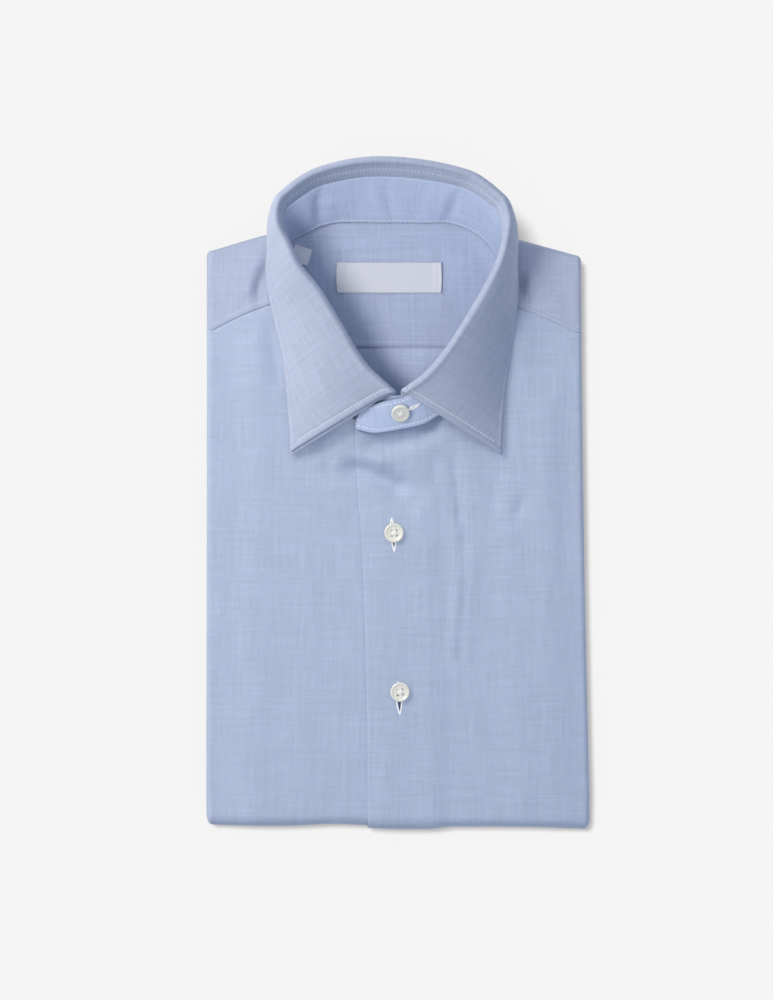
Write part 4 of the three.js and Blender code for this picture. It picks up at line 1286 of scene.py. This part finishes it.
look = holeSettings["collar"]
holeOutline = lens(look["start"], look["end"], look["width"], look["steps"])
standHolePath = onStand(holeOutline[:, 0], holeOutline[:, 1])
standHoleNormal = standFacing(holeOutline[:, 0])
standHolePath = standHolePath + standHoleNormal * 0.1
holePieces.append(holeRing("collarHole", standHolePath, standHoleNormal, look["ring"], whiteThread))
print("buttonholes made")

# Hidden layers: the core of the upper half, and the tail and sides folded beneath it

layerSettings = {
    # low, high, drawn in
    "layers": [(0.0, 2.3, 0.2), (2.35, 4.65, 0.9), (4.7, 7.0, 0.0)],
    "cell": 4.5, "columns": 50, "steps": 8,
}
coreSettings = {
    "cell": 4.0, "columns": 64, "steps": 4, "low": 8.6, "roll": 1.2,
    "below": 2.8, "foldRoom": 1.6, "floor": 10.9, "setback": 0.5,
}
allSides = ["bottom", "corner", "right", "corner", "top", "corner", "left", "corner"]


def layerGrid(look, drawnIn, setback):
    inset = sideIn + drawnIn
    return planGrid(look["columns"], lambda y: leftX(y) + inset, lambda y: rightX(y) - inset,
                    lambda x: bottomY(x) + setback + drawnIn, lambda x: topY(x) - inset, look["cell"])


# A layer closed all round, with a rounded edge
def closedSlab(x, y, topAt, low, steps, out):
    n, m = x.shape
    rim = sideRim(n, m, allSides)
    index = np.arange(n * m).reshape(n, m)
    quads = gridQuads(index)
    top = np.stack([x, y, topAt(x, y)], axis=2).reshape(-1, 3)
    bottom = np.stack([x, y, np.full_like(x, low)], axis=2).reshape(-1, 3)
    faces = quads.tolist() + (quads[:, ::-1] + n * m).tolist()
    i, j = np.array([r[:2] for r in rim]).T
    facing = np.radians([r[2] for r in rim])
    px, py = x[i, j], y[i, j]
    rimTop = topAt(px, py)
    band = np.stack([np.stack([px + np.cos(facing) * out * math.sin(angle),
                               py + np.sin(facing) * out * math.sin(angle),
                               low + (rimTop - low) * (1 + math.cos(angle)) / 2], axis=1)
                     for angle in np.linspace(0, math.pi, steps + 1)[1:-1]], axis=1)
    depth = band.shape[1]
    bandIndex = 2 * n * m + np.arange(len(rim) * depth).reshape(len(rim), depth)
    ring = np.concatenate([index[i, j][:, None], bandIndex, (index[i, j] + n * m)[:, None]], axis=1)
    for a in range(len(rim)):
        b = (a + 1) % len(rim)
        for k in range(depth + 1):
            corners = list(dict.fromkeys([ring[a, k], ring[a, k + 1], ring[b, k + 1], ring[b, k]]))
            if len(corners) > 2:
                faces.append(corners)
    return np.concatenate([top, bottom, band.reshape(-1, 3)]), faces


def coreTop(x, y):
    look = coreSettings
    outer = frontHeight(x, y, fine=False) + look["foldRoom"] * np.minimum(foldSum(x, y), 0) - look["below"]
    turn, reach = neckPlace(x, y)
    inside = smoothStep(neckRadius(turn) - 2.6 - reach, -1.2, 1.2)
    behind = smoothStep(y, 128, 140) * smoothStep(reach, 40, 44) * (np.abs(x) < 50)
    return outer + (look["floor"] - outer) * np.maximum(inside, behind)


slabs = []
for low, high, drawnIn in layerSettings["layers"]:
    x, y = layerGrid(layerSettings, drawnIn, packet["lowerSetback"] + sideIn)
    slabs.append(closedSlab(x, y, lambda u, v: np.full(u.shape, high), low, layerSettings["steps"], sideIn))
coreGrid = layerGrid(coreSettings, 0, packet["bottomRoll"] + coreSettings["setback"])
slabs.append(closedSlab(*coreGrid, coreTop, coreSettings["low"], coreSettings["steps"], coreSettings["roll"]))
allPoints, allFaces = np.zeros((0, 3)), []
for points, faces in slabs:
    allFaces += [[v + len(allPoints) for v in face] for face in faces]
    allPoints = np.concatenate([allPoints, points])
hidden = addPiece("foldedLayersCloth", allPoints, allFaces,
                  np.stack([allPoints[:, 0], allPoints[:, 1] + allPoints[:, 2]], axis=1), hiddenCloth)
smoothShade(hidden, 60)
print("hidden layers made")

# What each piece stands for, whose part from model.glb is hidden; every piece hangs from the root

standsFor = [
    (frontRight, "front_right"), (frontLeft, "front_left"), (yokeCloth, "yoke"), (backInside, "back"),
    (stand, "collar_stand"), (leafTop, "collar_leaf"), (hidden, "folded_layers"), (mainLabel, "main_label"),
    (sizeLabel, "size_label"), (buttons[0], "front_button_1"), (buttons[1], "front_button_2"),
    (collarButton, "collar_button"),
]
for piece, node in standsFor:
    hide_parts(node)
clothPieces = [frontRight, frontLeft, yokeCloth, yokeInside, backInside, stand, leafTop, leafUnder, hidden]
threadPieces = [frontStitches, outerStitches, backStitches, seamStitches, standStitches, yokeStitches,
                insideStitches, collarThread, *threads, *holePieces, *slitPieces]
shellPieces = [*buttons, collarButton]
labelPieces = [mainLabel, sizeLabel]
for pieces, slot in ((clothPieces, "shirt_cloth"), (threadPieces + labelPieces, "label_satin"),
                     (shellPieces, "button_shell")):
    for piece in pieces:
        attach(piece, "root")

# Floor and soft studio light. The floor has its own lamp, so that it stays evenly pale.

stageSettings = {
    "floor": (0.20, 0.20, 0.20), "floorGlow": (0.400, 0.392, 0.378),
    "world": 0.57, "worldColour": (0.90, 0.975, 1.11),
    "front": {"place": (-0.86, 0.80, 1.22), "size": 0.9, "power": 10.5, "colour": (1.12, 1.02, 0.88)},
    "soft": {"place": (-0.86, 0.80, 1.22), "size": 0.5, "power": 11.0, "colour": (1.12, 1.02, 0.88)},
    "leaf": {"place": (-0.86, 0.40, 0.74), "size": 0.9, "power": 12.8, "colour": (1.12, 1.02, 0.88)},
    "inner": {"place": (-0.62, 0.12, 0.96), "size": 0.5, "power": 8.2, "colour": (1.08, 1.01, 0.93)},
    "fill": {"place": (-0.35, -0.45, 1.0), "size": 0.5, "power": 2.6, "colour": (1.0, 1.0, 1.0)},
    "floorLamp": {"from": (-0.28, 0.28, 1.0), "strength": 7.0, "angle": 15, "colour": (1.0, 0.995, 0.98)},
}

bpy.ops.object.select_all(action="DESELECT")
bpy.ops.mesh.primitive_plane_add(size=8, location=(0, 0, -0.0001))
floor = bpy.context.active_object
floor.name = "paleFloor"
floorMaterial, _, floorShader = startMaterial("paleFloor", 0.95)
floorShader.inputs["Base Color"].default_value = rgba(stageSettings["floor"])
floorShader.inputs["Specular IOR Level"].default_value = 0.0
floorShader.inputs["Emission Color"].default_value = rgba(stageSettings["floorGlow"])
floorShader.inputs["Emission Strength"].default_value = 1.0
floor.data.materials.append(floorMaterial)

world = bpy.data.worlds.new("softRoom")
sceneNow.world = world
world.use_nodes = True
background = world.node_tree.nodes["Background"]
background.inputs["Color"].default_value = rgba(stageSettings["worldColour"])
background.inputs["Strength"].default_value = stageSettings["world"]


# Each lamp lights only its own pieces. Where shading is given, only those pieces cast its shadows.
def addLamp(name, kind, place, lit):
    data = bpy.data.lights.new(name, kind)
    lamp = bpy.data.objects.new(name, data)
    sceneNow.collection.objects.link(lamp)
    lamp.location = place
    lamp.rotation_mode = "QUATERNION"
    lamp.rotation_quaternion = (-lamp.location).to_track_quat("-Z", "Y")
    receivers = bpy.data.collections.new(name + "Lights")
    for piece in lit:
        receivers.objects.link(piece)
    lamp.light_linking.receiver_collection = receivers
    return data


def addAreaLamp(name, look, lit, shading=()):
    data = addLamp(name, "AREA", look["place"], lit)
    if shading:
        blockers = bpy.data.collections.new(name + "Shades")
        for piece in shading:
            blockers.objects.link(piece)
        bpy.data.objects[name].light_linking.blocker_collection = blockers
    data.shape = "DISK"
    data.size = look["size"]
    data.energy = look["power"]
    data.color = look["colour"]


leafPieces = [leafTop, leafUnder, frontStitches, outerStitches, backStitches]
standPieces = [stand, standStitches, seamStitches]
innerPieces = [yokeCloth, yokeStitches, yokeInside, backInside, insideStitches, mainLabel, sizeLabel,
               *standPieces]
frontPieces = [piece for piece in clothPieces + threadPieces + shellPieces
               if piece not in innerPieces + leafPieces]
# Half of the light over the fronts passes the collar and the buttons, so their shadows stay pale.
shading = [piece for piece in clothPieces if piece not in leafPieces]
addAreaLamp("frontLamp", stageSettings["front"], frontPieces)
addAreaLamp("softLamp", stageSettings["soft"], frontPieces, shading)
addAreaLamp("leafLamp", stageSettings["leaf"], leafPieces)
addAreaLamp("innerLamp", stageSettings["inner"], innerPieces)
addAreaLamp("fillLamp", stageSettings["fill"], [*standPieces, backInside])
floorLamp = addLamp("floorLamp", "SUN", stageSettings["floorLamp"]["from"], [floor])
floorLamp.energy = stageSettings["floorLamp"]["strength"]
floorLamp.angle = math.radians(stageSettings["floorLamp"]["angle"])
floorLamp.color = stageSettings["floorLamp"]["colour"]
print("floor and light made")
